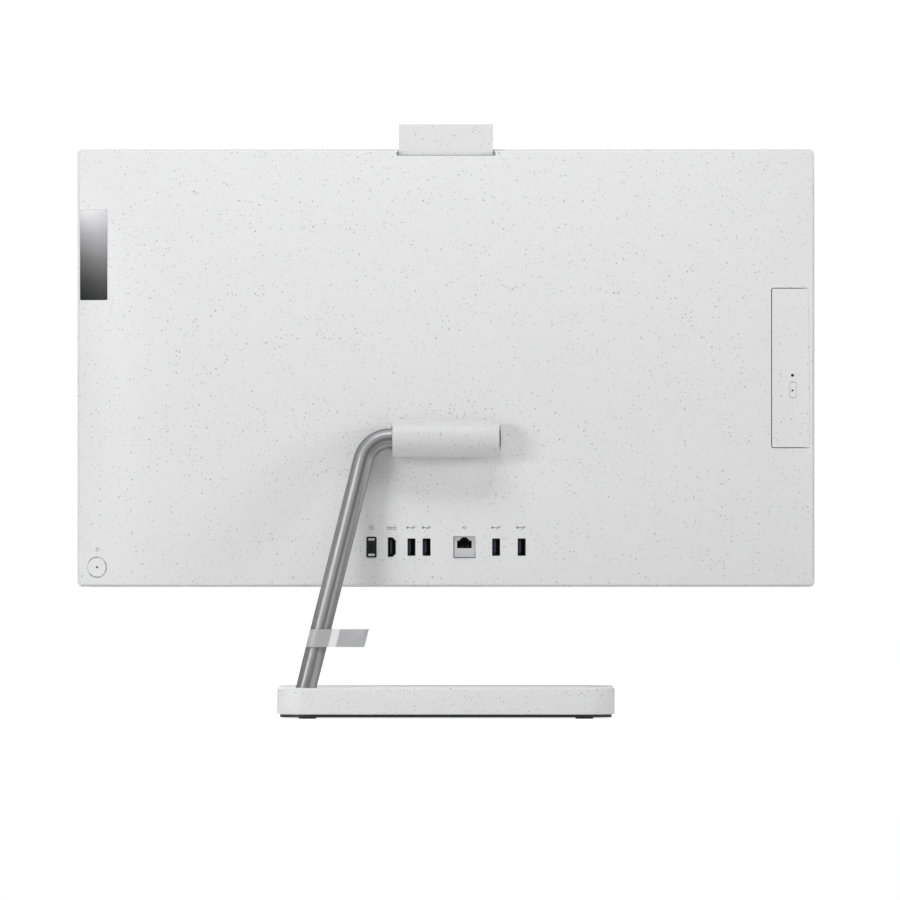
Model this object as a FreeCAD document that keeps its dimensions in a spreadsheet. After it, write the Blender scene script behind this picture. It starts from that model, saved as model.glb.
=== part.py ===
import FreeCAD, Part
import math
import os
import Sketcher

# All-in-one PC on a one-tube stand.
# Millimetres, +Z up. The screen looks along -Y and the rear cover faces +Y.
# The origin is the middle of the footprint, on the desk.

os.makedirs("parts", exist_ok=True)
doc = FreeCAD.newDocument("all_in_one_pc")
Vector = FreeCAD.Vector

# ---------------------------------------------------------------- driving dimensions
SIZES = {
    # base
    "foot_radius": 7.5, "foot_thickness": 1.2, "foot_inset_x": 25.3, "foot_inset_y": 24,
    "base_width": 281.1, "base_depth": 200, "base_shell": 21.8, "base_corner": 25,
    "base_edge": 2.5, "base_wall": 2.5, "plate_thickness": 2.5, "plate_inset": 2.5,
    "weight_thickness": 8, "weight_gap": 6,
    "base_screw_inset_x": 45.3, "base_screw_inset_y": 42, "screw_shaft": 1.5, "screw_head": 3,
    # tube and its socket
    "tube_radius": 8.5, "tube_wall": 2, "bend_radius": 23, "tube_reach": 64.5,
    "tube_lean": 13.94, "tube_rake": 7, "running_gap": 0.05,
    "socket_radius": 12.5, "flange_width": 46, "flange_depth": 46, "flange_shift": 13,
    "flange_thickness": 3,
    "clip_height": 14.7, "clip_centre": 66.8, "clip_wall": 2.2, "clip_mouth": 13, "loop_reach": 40, "loop_depth": 10,
    # tilt hinge
    "hinge_height": 233.1, "hinge_back": 12, "barrel_radius": 15.5, "barrel_length": 89.4,
    "barrel_wall": 3, "bush_length": 14, "neck_width": 70, "neck_height": 18,
    "collar_length": 6, "collar_gap": 1.4,
    "bracket_height": 40, "bracket_wall": 3, "bracket_foot": 14,
    # head
    "body_width": 617.3, "body_height": 366.5, "body_bottom": 108.9, "frame_depth": 12,
    "frame_corner": 4.5, "front_y": -26, "frame_border": 4, "chin": 18,
    "glass_thickness": 2, "glass_gap": 0.2, "ledge": 3, "cell_thickness": 1.8,
    "chassis_thickness": 1, "chassis_side": 15, "chassis_end": 8,
    "panel_screw_side": 27, "panel_screw_end": 25, "panel_screw_low": 34,
    "cover_inset": 1.5, "cover_wall": 2.5, "cover_rim_fillet": 1.2,
    "dome_rise": 38, "dome_over": 2, "dome_power": 6, "dome_top_drop": 0.7,
    "dome_low_drop": 0.2, "dome_shoulder": 310, "crest_above": 10.7, "crest_below": 34.3,
    "speaker_slots": 36, "slot_width": 1.2, "slot_pitch": 2.4, "slot_height": 5,
    "vent_count": 24, "vent_width": 3, "vent_pitch": 5.5, "vent_depth": 7,
    # camera
    "camera_width": 78.8, "camera_height": 46, "camera_thickness": 6.5, "camera_raise": 20.9,
    "camera_gap": 1.1, "notch_depth": 5, "camera_wall": 1.2, "lens_radius": 3.2,
    # disc drive
    "drive_height": 128, "drive_thickness": 12, "bezel_height": 132.8,
    "bezel_width": 34.15, "bezel_floor": -9.8, "seam": 0.7, "tray_thickness": 4.5,
    "tray_length": 126, "disc_radius": 60, "disc_recess": 1.6, "rail_thickness": 1, "hub_radius": 14,
    "eject_side": 18.2, "eject_below": 18.4, "eject_width": 5.7, "eject_height": 12.9,
    "eject_hole_above": 5.8,
    # power button
    "power_side": 16.35, "power_up": 16.5, "power_radius": 8.5, "power_gap": 0.4,
    "button_thickness": 2.4, "button_travel": 0.8,
    # mainboard and what is on it
    "board_left": -85, "board_right": 95, "board_up": 11.9, "board_height": 89,
    "board_y": 3, "board_thickness": 1.6, "port_up": 33.5, "port_recess": 0.5, "port_gap": 0.5,
    "cpu_x": 62, "cpu_down": 24, "pipe_radius": 2.8,
    "blower_inset": 98.65, "blower_down": 118.6, "blower_side": 80, "blower_thickness": 12,
    "fan_radius": 32, "fan_pin": 2,
    "storage_inset": 58.65, "storage_gap": 13.2, "storage_width": 100, "storage_height": 70,
    "storage_thickness": 9.5,
    "speaker_inset": 112.65, "speaker_width": 78, "speaker_height": 22, "speaker_depth": 12,
    # sockets: middle along X, size along X, size along Z
    "power_socket_x": 62.2, "power_socket_wide": 8.2, "power_socket_tall": 17.1,
    "display_socket_x": 45.2, "display_socket_wide": 6.3, "display_socket_tall": 15.9,
    "display_bevel": 2.6, "usb_wide": 6.2, "usb_tall": 14,
    "usb_1_x": 28.8, "usb_2_x": 16.2, "usb_3_x": -41.9, "usb_4_x": -63.3,
    "network_socket_x": -15.4, "network_socket_wide": 17.7, "network_socket_tall": 17.6,
    "plug_depth": 13,
    # badge
    "badge_side": 25.35, "badge_width": 23, "badge_down": 126.4, "badge_height": 75.5,
    "badge_thickness": 0.8,
}

# ---------------------------------------------------------------- places worked out from them
PLACES = {
    "foot_spread_x": "base_width / 2 - foot_inset_x",
    "foot_spread_y": "base_depth / 2 - foot_inset_y",
    "base_screw_x": "base_width / 2 - base_screw_inset_x",
    "base_screw_y": "base_depth / 2 - base_screw_inset_y",
    "base_z": "foot_thickness + plate_thickness",
    "base_top": "foot_thickness + plate_thickness + base_shell",
    "weight_top": "foot_thickness + plate_thickness + weight_thickness",
    "weight_width": "base_width - 2 * base_wall - 2 * weight_gap",
    "weight_depth": "base_depth - 2 * base_wall - 2 * weight_gap",
    "body_top": "body_bottom + body_height",
    "rim_y": "front_y + frame_depth",
    "dome_reach": "body_width / 2 + dome_over",
    "hinge_y": "front_y + frame_depth + dome_rise + hinge_back",
    "cell_y": "front_y + glass_thickness",
    "backlight_y": "front_y + glass_thickness + cell_thickness",
    "chassis_y": "front_y + frame_depth",
    "inside_y": "front_y + frame_depth + chassis_thickness",
    "glass_width": "body_width - 2 * frame_border",
    "glass_height": "body_height - frame_border - chin",
    "glass_bottom": "body_bottom + chin",
    "port_y": "front_y + frame_depth + dome_rise * 0.92 - port_recess",
    "board_face": "board_y + board_thickness",
    "camera_y": "front_y + frame_depth + chassis_thickness + 0.5",
    "camera_top": "body_bottom + body_height + camera_raise",
    "bezel_inner_x": "-(body_width / 2 - cover_inset - 0.3 - bezel_width)",
    "tray_y": "front_y + frame_depth + chassis_thickness + 4",
    "bush_radius": "barrel_radius - barrel_wall",
    "crest_high": "hinge_height + crest_above",
    "crest_low": "hinge_height - crest_below",
    "drive_centre": "body_bottom + body_height / 2",
    "eject_x": "body_width / 2 - eject_side",
    "power_x": "body_width / 2 - power_side",
    "power_z": "body_bottom + power_up",
    "board_bottom": "body_bottom + board_up",
    "board_top": "body_bottom + board_up + board_height",
    "port_row": "body_bottom + port_up",
    "cpu_z": "body_bottom + board_up + board_height - cpu_down",
    "blower_left": "body_width / 2 - blower_inset - blower_side",
    "blower_bottom": "body_bottom + body_height - blower_down",
    "storage_left": "storage_inset - body_width / 2",
    "storage_bottom": "body_bottom + body_height / 2 - drive_height / 2 - storage_gap - storage_height",
    "speaker_left": "body_width / 2 - speaker_inset",
    "badge_left": "body_width / 2 - badge_side",
    "badge_bottom": "body_bottom + body_height - badge_down",
}


def write_sheet(name, cells, prefix):
    """One row a value: its word in column A, the number or formula in column B."""
    table = doc.addObject("Spreadsheet::Sheet", name)
    for row, (alias, content) in enumerate(cells.items(), 1):
        table.set(f"A{row}", alias)
        table.set(f"B{row}", prefix + str(content))
        table.setAlias(f"B{row}", alias)
    return table


def words(text):
    """Splits an expression into words and the signs between them."""
    parts = [""]
    for letter in text:
        joined = letter.isalnum() or letter in "_."
        last = parts[-1]
        if last and joined == (last[-1].isalnum() or last[-1] in "_."):
            parts[-1] += letter
        else:
            parts.append(letter)
    return parts


def linked(text):
    """Turns the words of an expression into references to the two sheets."""
    text = str(text)
    out = ""
    for word in words(text):
        if word in SIZES:
            out += "sizes." + word
        elif word in PLACES:
            out += "places." + word
        else:
            out += word
    return out


sizes = write_sheet("sizes", SIZES, "")
places = write_sheet("places", {name: linked(rule) for name, rule in PLACES.items()}, "=")
doc.recompute()


def number(name):
    """The present value of one named size or place."""
    table = sizes if name in SIZES else places
    return float(getattr(table, name))


# ---------------------------------------------------------------- plain solids and booleans
TURN = {
    "x": FreeCAD.Rotation(Vector(0, 1, 0), 90),
    "y": FreeCAD.Rotation(Vector(1, 0, 0), -90),
    "z": FreeCAD.Rotation(),
}


def move_to(item, start):
    for axis, place in zip("xyz", start):
        item.setExpression(".Placement.Base." + axis, linked(place))


def block(name, x, y, z):
    """A box from the first to the second expression on each axis."""
    solid = doc.addObject("Part::Box", name)
    for side, (first, last) in zip(("Length", "Width", "Height"), (x, y, z)):
        solid.setExpression(side, linked(f"({last}) - ({first})"))
    move_to(solid, (x[0], y[0], z[0]))
    return solid


def block_at(name, centre, spans):
    """A box given by its middle point and its three sizes."""
    ranges = [(f"{c} - ({s}) / 2", f"{c} + ({s}) / 2") for c, s in zip(centre, spans)]
    return block(name, *ranges)


def rod(name, radius, start, length, axis="z"):
    solid = doc.addObject("Part::Cylinder", name)
    solid.Placement = FreeCAD.Placement(Vector(), TURN[axis])
    solid.setExpression("Radius", linked(radius))
    solid.setExpression("Height", linked(length))
    move_to(solid, start)
    return solid


def cut(name, base, *tools):
    result = doc.addObject("Part::Cut", name)
    result.Base = base
    result.Tool = tools[0] if len(tools) == 1 else fuse(name + "_tools", *tools)
    return result


def fuse(name, *shapes):
    result = doc.addObject("Part::MultiFuse", name)
    result.Shapes = list(shapes)
    return result


def common(name, base, tool):
    result = doc.addObject("Part::Common", name)
    result.Base = base
    result.Tool = tool
    return result


def group(name, *shapes):
    result = doc.addObject("Part::Compound", name)
    result.Links = list(shapes)
    return result


def feature(name, shape):
    result = doc.addObject("Part::Feature", name)
    result.Shape = shape
    return result


def rounded(name, solid, axis, radius, wanted=None):
    """Rounds the straight edges that run along one axis."""
    doc.recompute()
    along = {"x": Vector(1, 0, 0), "y": Vector(0, 1, 0), "z": Vector(0, 0, 1)}[axis]
    chosen = []
    for index, edge in enumerate(solid.Shape.Edges, 1):
        straight = isinstance(edge.Curve, Part.Line)
        if not straight or abs(edge.tangentAt(edge.FirstParameter).dot(along)) < 0.99:
            continue
        if wanted is None or wanted(edge.CenterOfMass):
            chosen.append((index, radius, radius))
    result = doc.addObject("Part::Fillet", name)
    result.Base = solid
    result.Edges = chosen
    return result


def screws(name, heads, head_depth, shaft_depth, axis, grow=0):
    """Pan-head screws: each head point is where the head's top centre sits; the shaft runs on."""
    sign = -1 if axis.startswith("-") else 1
    letter = axis[-1]
    step = "xyz".index(letter)
    solids = []
    for count, point in enumerate(heads, 1):
        lows = []
        spans = ((f"screw_head + {grow}", 0, head_depth), (f"screw_shaft + {grow}", head_depth, shaft_depth))
        for part, (radius, begin, length) in enumerate(spans):
            start = list(point)
            shift = f"{begin}" if sign > 0 else f"-({begin}) - ({length})"
            start[step] = f"({point[step]}) + {shift}"
            lows.append(rod(f"{name}_{count}_{part}", radius, start, length, letter))
        solids.append(fuse(f"{name}_{count}", *lows))
    return group(name, *solids)


# ---------------------------------------------------------------- sketched bodies
def new_body(name):
    return doc.addObject("PartDesign::Body", name)


def new_sketch(body, name, plane, lift="0"):
    sketch = body.newObject("Sketcher::SketchObject", name)
    support = [item for item in body.Origin.OriginFeatures if item.Role == plane]
    sketch.AttachmentSupport = (support[0], [""])
    sketch.MapMode = "FlatFace"
    sketch.setExpression(".AttachmentOffset.Base.z", linked(lift))
    return sketch


def pin_point(sketch, geometry, point, x, y):
    for kind, place in (("DistanceX", x), ("DistanceY", y)):
        index = sketch.addConstraint(Sketcher.Constraint(kind, -1, 1, geometry, point, 1.0))
        sketch.setExpression(f"Constraints[{index}]", linked(place))


def outline(sketch, points):
    """A closed polygon whose corners are expressions."""
    first = sketch.GeometryCount
    count = len(points)
    guess = [Vector(math.cos(math.tau * i / count), math.sin(math.tau * i / count), 0) for i in range(count)]
    for i in range(count):
        sketch.addGeometry(Part.LineSegment(guess[i], guess[(i + 1) % count]), False)
    for i in range(count):
        sketch.addConstraint(Sketcher.Constraint("Coincident", first + i, 2, first + (i + 1) % count, 1))
    for i, (x, y) in enumerate(points):
        pin_point(sketch, first + i, 1, x, y)


def rectangle(sketch, x, y):
    outline(sketch, [(x[0], y[0]), (x[1], y[0]), (x[1], y[1]), (x[0], y[1])])


def circle(sketch, x, y, radius):
    index = sketch.addGeometry(Part.Circle(Vector(), Vector(0, 0, 1), 1), False)
    pin_point(sketch, index, 3, x, y)
    size = sketch.addConstraint(Sketcher.Constraint("Radius", index, 1.0))
    sketch.setExpression(f"Constraints[{size}]", linked(radius))


def pad(body, name, sketch, length, back=False):
    result = body.newObject("PartDesign::Pad", name)
    result.Profile = sketch
    result.Reversed = back
    result.setExpression("Length", linked(length))
    return result


def pocket(body, name, sketch, length, back=False):
    """Cuts a pocket and makes sure that it took something away."""
    doc.recompute()
    before = body.Shape.Volume
    result = body.newObject("PartDesign::Pocket", name)
    result.Profile = sketch
    result.Reversed = back
    result.setExpression("Length", linked(length))
    doc.recompute()
    if body.Shape.Volume >= before:
        raise ValueError(name + " cuts nothing")
    return result


def fillet(body, name, radius, wanted):
    """Rounds the edges of the body's last feature that the test accepts."""
    doc.recompute()
    base = body.Tip
    chosen = [f"Edge{i}" for i, edge in enumerate(base.Shape.Edges, 1) if wanted(edge)]
    result = body.newObject("PartDesign::Fillet", name)
    result.Base = (base, chosen)
    result.setExpression("Radius", linked(radius))
    return result


def row_pattern(body, name, feature_in, sketch, count, pitch):
    """Repeats a feature along its sketch's horizontal direction."""
    doc.recompute()
    result = body.newObject("PartDesign::LinearPattern", name)
    result.Originals = [feature_in]
    result.Direction = (sketch, ["H_Axis"])
    result.setExpression("Occurrences", linked(count))
    result.setExpression("Length", linked(f"({count} - 1) * ({pitch})"))
    body.Tip = result
    return result


def ring_pattern(body, name, feature_in, sketch, count):
    """Repeats a feature round the normal of its sketch."""
    doc.recompute()
    result = body.newObject("PartDesign::PolarPattern", name)
    result.Originals = [feature_in]
    result.Axis = (sketch, ["N_Axis"])
    result.Angle = 360
    result.Occurrences = count
    body.Tip = result
    return result


def upright(edge):
    return isinstance(edge.Curve, Part.Line) and abs(edge.tangentAt(edge.FirstParameter).z) > 0.99


def deep(edge):
    return isinstance(edge.Curve, Part.Line) and abs(edge.tangentAt(edge.FirstParameter).y) > 0.99


def slab(name, width, depth, bottom, thickness, corner):
    """A flat plate with rounded corners, centred on the Z axis."""
    body = new_body(name)
    sketch = new_sketch(body, name + "_outline", "XY_Plane", bottom)
    rectangle(sketch, (f"-({width}) / 2", f"({width}) / 2"), (f"-({depth}) / 2", f"({depth}) / 2"))
    pad(body, name + "_pad", sketch, thickness)
    fillet(body, name + "_corners", corner, upright)
    return body


nodes = []


def keep(*solids):
    """Marks finished sub-parts; each becomes one file under its label."""
    nodes.extend(solids)


# ---------------------------------------------------------------- the tube's own directions
lean = math.radians(number("tube_lean"))
rake = math.radians(number("tube_rake"))
hinge_point = Vector(0, number("hinge_y"), number("hinge_height"))
down_tube = Vector(math.sin(lean), math.cos(lean) * math.sin(rake), -math.cos(lean) * math.cos(rake))
bend_corner = hinge_point + Vector(number("tube_reach"), 0, 0)


def on_tube(height):
    """The point of the straight tube's centre line at one height."""
    return bend_corner + down_tube * ((height - bend_corner.z) / down_tube.z)


def tube_rod(name, radius, top, bottom):
    """A cylinder round the tube's centre line between two heights."""
    start = on_tube(top)
    solid = doc.addObject("Part::Cylinder", name)
    solid.Placement = FreeCAD.Placement(start, FreeCAD.Rotation(Vector(0, 0, 1), down_tube))
    solid.setExpression("Radius", linked(radius))
    solid.Height = (on_tube(bottom) - start).Length
    return solid


# ---------------------------------------------------------------- base
def make_base():
    feet = new_body("base_feet")
    foot_sketch = new_sketch(feet, "foot_circles", "XY_Plane")
    for side_x in ("-", ""):
        for side_y in ("-", ""):
            circle(foot_sketch, side_x + "foot_spread_x", side_y + "foot_spread_y", "foot_radius")
    pad(feet, "foot_pad", foot_sketch, "foot_thickness")

    heads = [(f"{x} * base_screw_x", f"{y} * base_screw_y", "foot_thickness + 0.4") for x in (-1, 0, 1) for y in (-1, 1)]
    base_screws = screws("base_screws", heads, "plate_thickness - 0.4", "6", "z")
    holes = screws("base_screw_holes", heads, "plate_thickness - 0.4", "6.5", "z", "running_gap")
    mouths = group("base_screw_mouths", *[
        rod(f"base_screw_mouth_{i}", "screw_head + running_gap", (x, y, "0"), "foot_thickness + 0.4")
        for i, (x, y, _) in enumerate(heads)])

    plate = slab("base_plate_blank", "base_width - 2 * plate_inset", "base_depth - 2 * plate_inset",
                 "foot_thickness", "plate_thickness", "base_corner - plate_inset")
    plate = cut("base_plate", plate, holes, mouths)
    weight = slab("base_weight_blank", "weight_width", "weight_depth", "base_z", "weight_thickness",
                  "base_corner - base_wall - weight_gap")
    weight = cut("base_weight", weight, holes)

    shell = slab("base_shell_body", "base_width", "base_depth", "base_z", "base_shell", "base_corner")
    doc.recompute()
    top = number("base_top")
    fillet(shell, "base_top_edge", "base_edge", lambda edge: abs(edge.BoundBox.ZMin - top) < 0.01)
    hollow = slab("base_hollow", "base_width - 2 * base_wall", "base_depth - 2 * base_wall", "base_z - 1",
                  "base_shell - base_wall + 1", "base_corner - base_wall")
    base_cover = cut("base_cover", shell, hollow, tube_rod("tube_way", "tube_radius + 0.5", top + 10, top - 12))

    foot = on_tube(number("weight_top"))
    socket_top = number("base_top") - number("base_wall") - 0.4
    collar = tube_rod("socket_collar", "socket_radius", socket_top + 8, number("weight_top") - 8)
    slice_z = block("socket_slice", (f"{foot.x} - 60", f"{foot.x} + 60"), (f"{foot.y} - 60", f"{foot.y} + 60"),
                    ("weight_top", "base_top - base_wall - 0.4"))
    collar = common("socket_collar_trimmed", collar, slice_z)
    flange = block_at("socket_flange", (f"{foot.x} - flange_shift", f"{foot.y}", "weight_top + flange_thickness / 2"),
                      ("flange_width", "flange_depth", "flange_thickness"))
    bore = tube_rod("socket_bore", "tube_radius + running_gap", socket_top + 12, number("weight_top") - 12)
    bolt_x = [f"{foot.x} - flange_shift + {s} * (flange_width / 2 - 5)" for s in (-1, 1)]
    bolt_y = [f"{foot.y} + {s} * (flange_depth / 2 - 5)" for s in (-1, 1)]
    bolt_heads = [(x, y, "weight_top + flange_thickness + 2.5") for x in bolt_x for y in bolt_y]
    socket_screws = screws("socket_screws", bolt_heads, "2.5", "flange_thickness + 4", "-z")
    bolt_holes = screws("socket_screw_holes", bolt_heads, "2.5", "flange_thickness + 4.5", "-z", "running_gap")
    socket = cut("tube_socket", fuse("socket_blank", collar, flange), bore, bolt_holes)
    weight = cut("base_weight_drilled", weight, bolt_holes)
    doc.getObject("base_weight").Label = "base_weight_undrilled"
    weight.Label = "base_weight"
    keep(feet, plate, weight, base_cover, socket, base_screws, socket_screws)


# ---------------------------------------------------------------- stand tube
def make_tube():
    """A bent tube: its short run is the hinge core, its long run leans down into the base."""
    tube = new_body("stand_tube")
    reach = number("tube_reach")
    radius = number("bend_radius")
    turn = math.pi / 2 - lean
    tangent = radius * math.tan(turn / 2)
    start_x = -(number("barrel_length") / 2 - 11)
    foot = on_tube(number("weight_top") + 2.6)
    drop = (foot - bend_corner).Length
    end = Vector(reach + drop * math.sin(lean), -drop * math.cos(lean), 0)
    arc_in = Vector(reach - tangent, 0, 0)
    arc_out = Vector(reach + tangent * math.sin(lean), -tangent * math.cos(lean), 0)
    centre = Vector(reach - tangent, -radius, 0)

    path = new_sketch(tube, "tube_path", "XZ_Plane")
    path.addGeometry(Part.LineSegment(Vector(start_x, 0, 0), arc_in), False)
    arc = Part.ArcOfCircle(Part.Circle(centre, Vector(0, 0, 1), radius), lean, math.pi / 2)
    path.addGeometry(arc, False)
    path.addGeometry(Part.LineSegment(arc_out, end), False)
    path.addConstraint(Sketcher.Constraint("Tangent", 0, 2, 1, 2))
    path.addConstraint(Sketcher.Constraint("Tangent", 1, 1, 2, 1))
    path.addConstraint(Sketcher.Constraint("Horizontal", 0))
    bend = path.addConstraint(Sketcher.Constraint("Radius", 1, radius))
    path.setExpression(f"Constraints[{bend}]", linked("bend_radius"))
    for geometry, point, spot in ((0, 1, Vector(start_x, 0, 0)), (2, 2, end)):
        path.addConstraint(Sketcher.Constraint("DistanceX", -1, 1, geometry, point, spot.x))
        path.addConstraint(Sketcher.Constraint("DistanceY", -1, 1, geometry, point, spot.y))

    ring = new_sketch(tube, "tube_section", "YZ_Plane", start_x)
    circle(ring, "0", "0", "tube_radius")
    circle(ring, "0", "0", "tube_radius - tube_wall")
    doc.recompute()
    pipe = tube.newObject("PartDesign::AdditivePipe", "tube_sweep")
    pipe.Profile = ring
    pipe.Spine = path
    tube.Placement = FreeCAD.Placement(hinge_point, FreeCAD.Rotation(Vector(1, 0, 0), number("tube_rake")))
    keep(tube)

    collar = cut("tube_collar",
                 rod("collar_blank", "bush_radius - collar_gap", (start_x, "hinge_y", "hinge_height"), "collar_length", "x"),
                 rod("collar_bore", "tube_radius + running_gap", (f"{start_x} - 1", "hinge_y", "hinge_height"),
                     "collar_length + 2", "x"))
    keep(collar)
    return start_x


# ---------------------------------------------------------------- cable clip
def make_clip():
    """A spring clip round the tube with a flat loop for cables, cut off level at both ends."""
    half = number("clip_height") / 2
    low = on_tube(number("clip_centre") - half)
    rise = on_tube(number("clip_centre") + half) - low
    outer = number("tube_radius") + number("clip_wall")
    reach = number("loop_reach")
    depth = number("loop_depth")

    def level_band(name, left, right, near, far, ends):
        """A flat loop's outline at the clip's lower face, carried up along the tube."""
        corners = [Vector(right, near, 0), Vector(left, near, 0), Vector(left, far, 0), Vector(right, far, 0)]
        edges = [Part.LineSegment(corners[0], corners[1]).toShape(),
                 Part.Arc(corners[1], Vector(left - ends, (near + far) / 2, 0), corners[2]).toShape(),
                 Part.LineSegment(corners[2], corners[3]).toShape(),
                 Part.LineSegment(corners[3], corners[0]).toShape()]
        wire = Part.Wire(edges)
        wire.translate(low)
        return feature(name, Part.Face(wire).extrude(rise))

    wall = number("clip_wall") * 0.75
    middle = outer - depth / 2
    band = level_band("loop_outer", -reach + depth / 2, 0, middle - depth / 2, middle + depth / 2, depth / 2)
    inner_depth = depth - 2 * wall
    hollow = level_band("loop_inner", -reach + depth / 2, -outer - 0.6, middle - inner_depth / 2,
                        middle + inner_depth / 2, inner_depth / 2)
    sleeve = tube_rod("clip_sleeve", "tube_radius + clip_wall", number("clip_centre") + 30, number("clip_centre") - 30)
    slice_z = block("clip_slice", (f"{low.x} - 90", f"{low.x} + 90"), (f"{low.y} - 60", f"{low.y} + 60"),
                    ("clip_centre - clip_height / 2", "clip_centre + clip_height / 2"))
    sleeve = common("clip_sleeve_level", sleeve, slice_z)
    bore = tube_rod("clip_bore", "tube_radius + running_gap", number("clip_centre") + 40, number("clip_centre") - 40)
    mouth_width = number("clip_mouth")
    mouth = feature("clip_mouth_box", Part.makeBox(40, mouth_width, 40, on_tube(number("clip_centre")) + Vector(2, -mouth_width / 2, -20)))
    clip = cut("cable_clip", fuse("clip_blank", sleeve, band), hollow, bore, mouth)
    keep(clip)


# ---------------------------------------------------------------- domed head
def rear_face_y(x, z):
    """Depth of the rear cover's outer face: full in the middle, falling away to every edge."""
    away = number("dome_reach") - abs(x)
    side = 1 - max(0, 1 - away / number("dome_shoulder")) ** number("dome_power")
    high = number("crest_high")
    low = number("crest_low")
    above = max(0, z - high) / (number("body_top") - high)
    below = max(0, low - z) / (low - number("body_bottom"))
    fall = number("dome_top_drop") * above ** 2 + number("dome_low_drop") * below ** 2
    return number("rim_y") + number("dome_rise") * side * (1 - fall)


def domed_block(name, inset, lower, front, edge_radius=0):
    """The head's rear volume: a rounded rectangle cut off by the domed face."""
    half = number("body_width") / 2 - inset
    bottom = number("body_bottom") + inset
    height = number("body_height") - 2 * inset
    reach = number("body_width") / 2 + 4
    count = 25
    xs = [-reach + 2 * reach * i / (count - 1) for i in range(count)]
    zs = [bottom - 10 + (height + 20) * j / (count - 1) for j in range(count)]
    face = Part.BSplineSurface()
    face.interpolate([[Vector(x, rear_face_y(x, z) - lower, z) for z in zs] for x in xs])
    below_face = face.toShape().extrude(Vector(0, -120, 0))
    plain = Part.makeBox(2 * half, 140, height, Vector(-half, front, bottom))
    corner = max(number("frame_corner") - inset, 1)
    plain = plain.makeFillet(corner, [edge for edge in plain.Edges if deep(edge)])
    solid = plain.common(below_face).Solids[0]
    if edge_radius:
        domed = [item for item in solid.Faces if isinstance(item.Surface, Part.BSplineSurface)]
        solid = solid.makeFillet(edge_radius, domed[0].OuterWire.Edges)
    return feature(name, solid)


def surface_turn(x, z):
    """The rotation that turns +Y onto the rear face's outward normal."""
    step = 0.5
    slope_x = (rear_face_y(x + step, z) - rear_face_y(x - step, z)) / (2 * step)
    slope_z = (rear_face_y(x, z + step) - rear_face_y(x, z - step)) / (2 * step)
    return FreeCAD.Rotation(Vector(0, 1, 0), Vector(-slope_x, 1, -slope_z))


def slot_row(name, plane, lift, start, low, high, length):
    """A row of narrow slots used as a cutter."""
    body = new_body(name)
    sketch = new_sketch(body, name + "_slot", plane, lift)
    rectangle(sketch, (start, f"{start} + vent_width"), (low, high))
    first = pad(body, name + "_pad", sketch, length)
    row_pattern(body, name + "_row", first, sketch, "vent_count", "vent_pitch")
    return body


PORTS = {
    # name: x of the middle, size along X, size along Z
    "power_socket": ("power_socket_x", "power_socket_wide", "power_socket_tall"),
    "display_socket": ("display_socket_x", "display_socket_wide", "display_socket_tall"),
    "usb_1": ("usb_1_x", "usb_wide", "usb_tall"),
    "usb_2": ("usb_2_x", "usb_wide", "usb_tall"),
    "network_socket": ("network_socket_x", "network_socket_wide", "network_socket_tall"),
    "usb_3": ("usb_3_x", "usb_wide", "usb_tall"),
    "usb_4": ("usb_4_x", "usb_wide", "usb_tall"),
}


def display_prism(name, grow, front, length):
    """An upright oblong with two bevelled corners on one side, running back along Y from its front."""
    body = new_body(name)
    face = new_sketch(body, name + "_face", "XZ_Plane", f"-({front})")
    right = f"display_socket_wide / 2 + {grow}"
    top = f"display_socket_tall / 2 + {grow}"
    cut_off = f"display_bevel + ({grow}) / 2"
    outline(face, [(f"display_socket_x - ({right})", f"port_row - ({top}) + {cut_off}"),
                   (f"display_socket_x - ({right}) + {cut_off}", f"port_row - ({top})"),
                   (f"display_socket_x + {right}", f"port_row - ({top})"),
                   (f"display_socket_x + {right}", f"port_row + {top}"),
                   (f"display_socket_x - ({right}) + {cut_off}", f"port_row + {top}"),
                   (f"display_socket_x - ({right})", f"port_row + {top} - ({cut_off})")])
    pad(body, name + "_pad", face, length)
    return body


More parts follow.
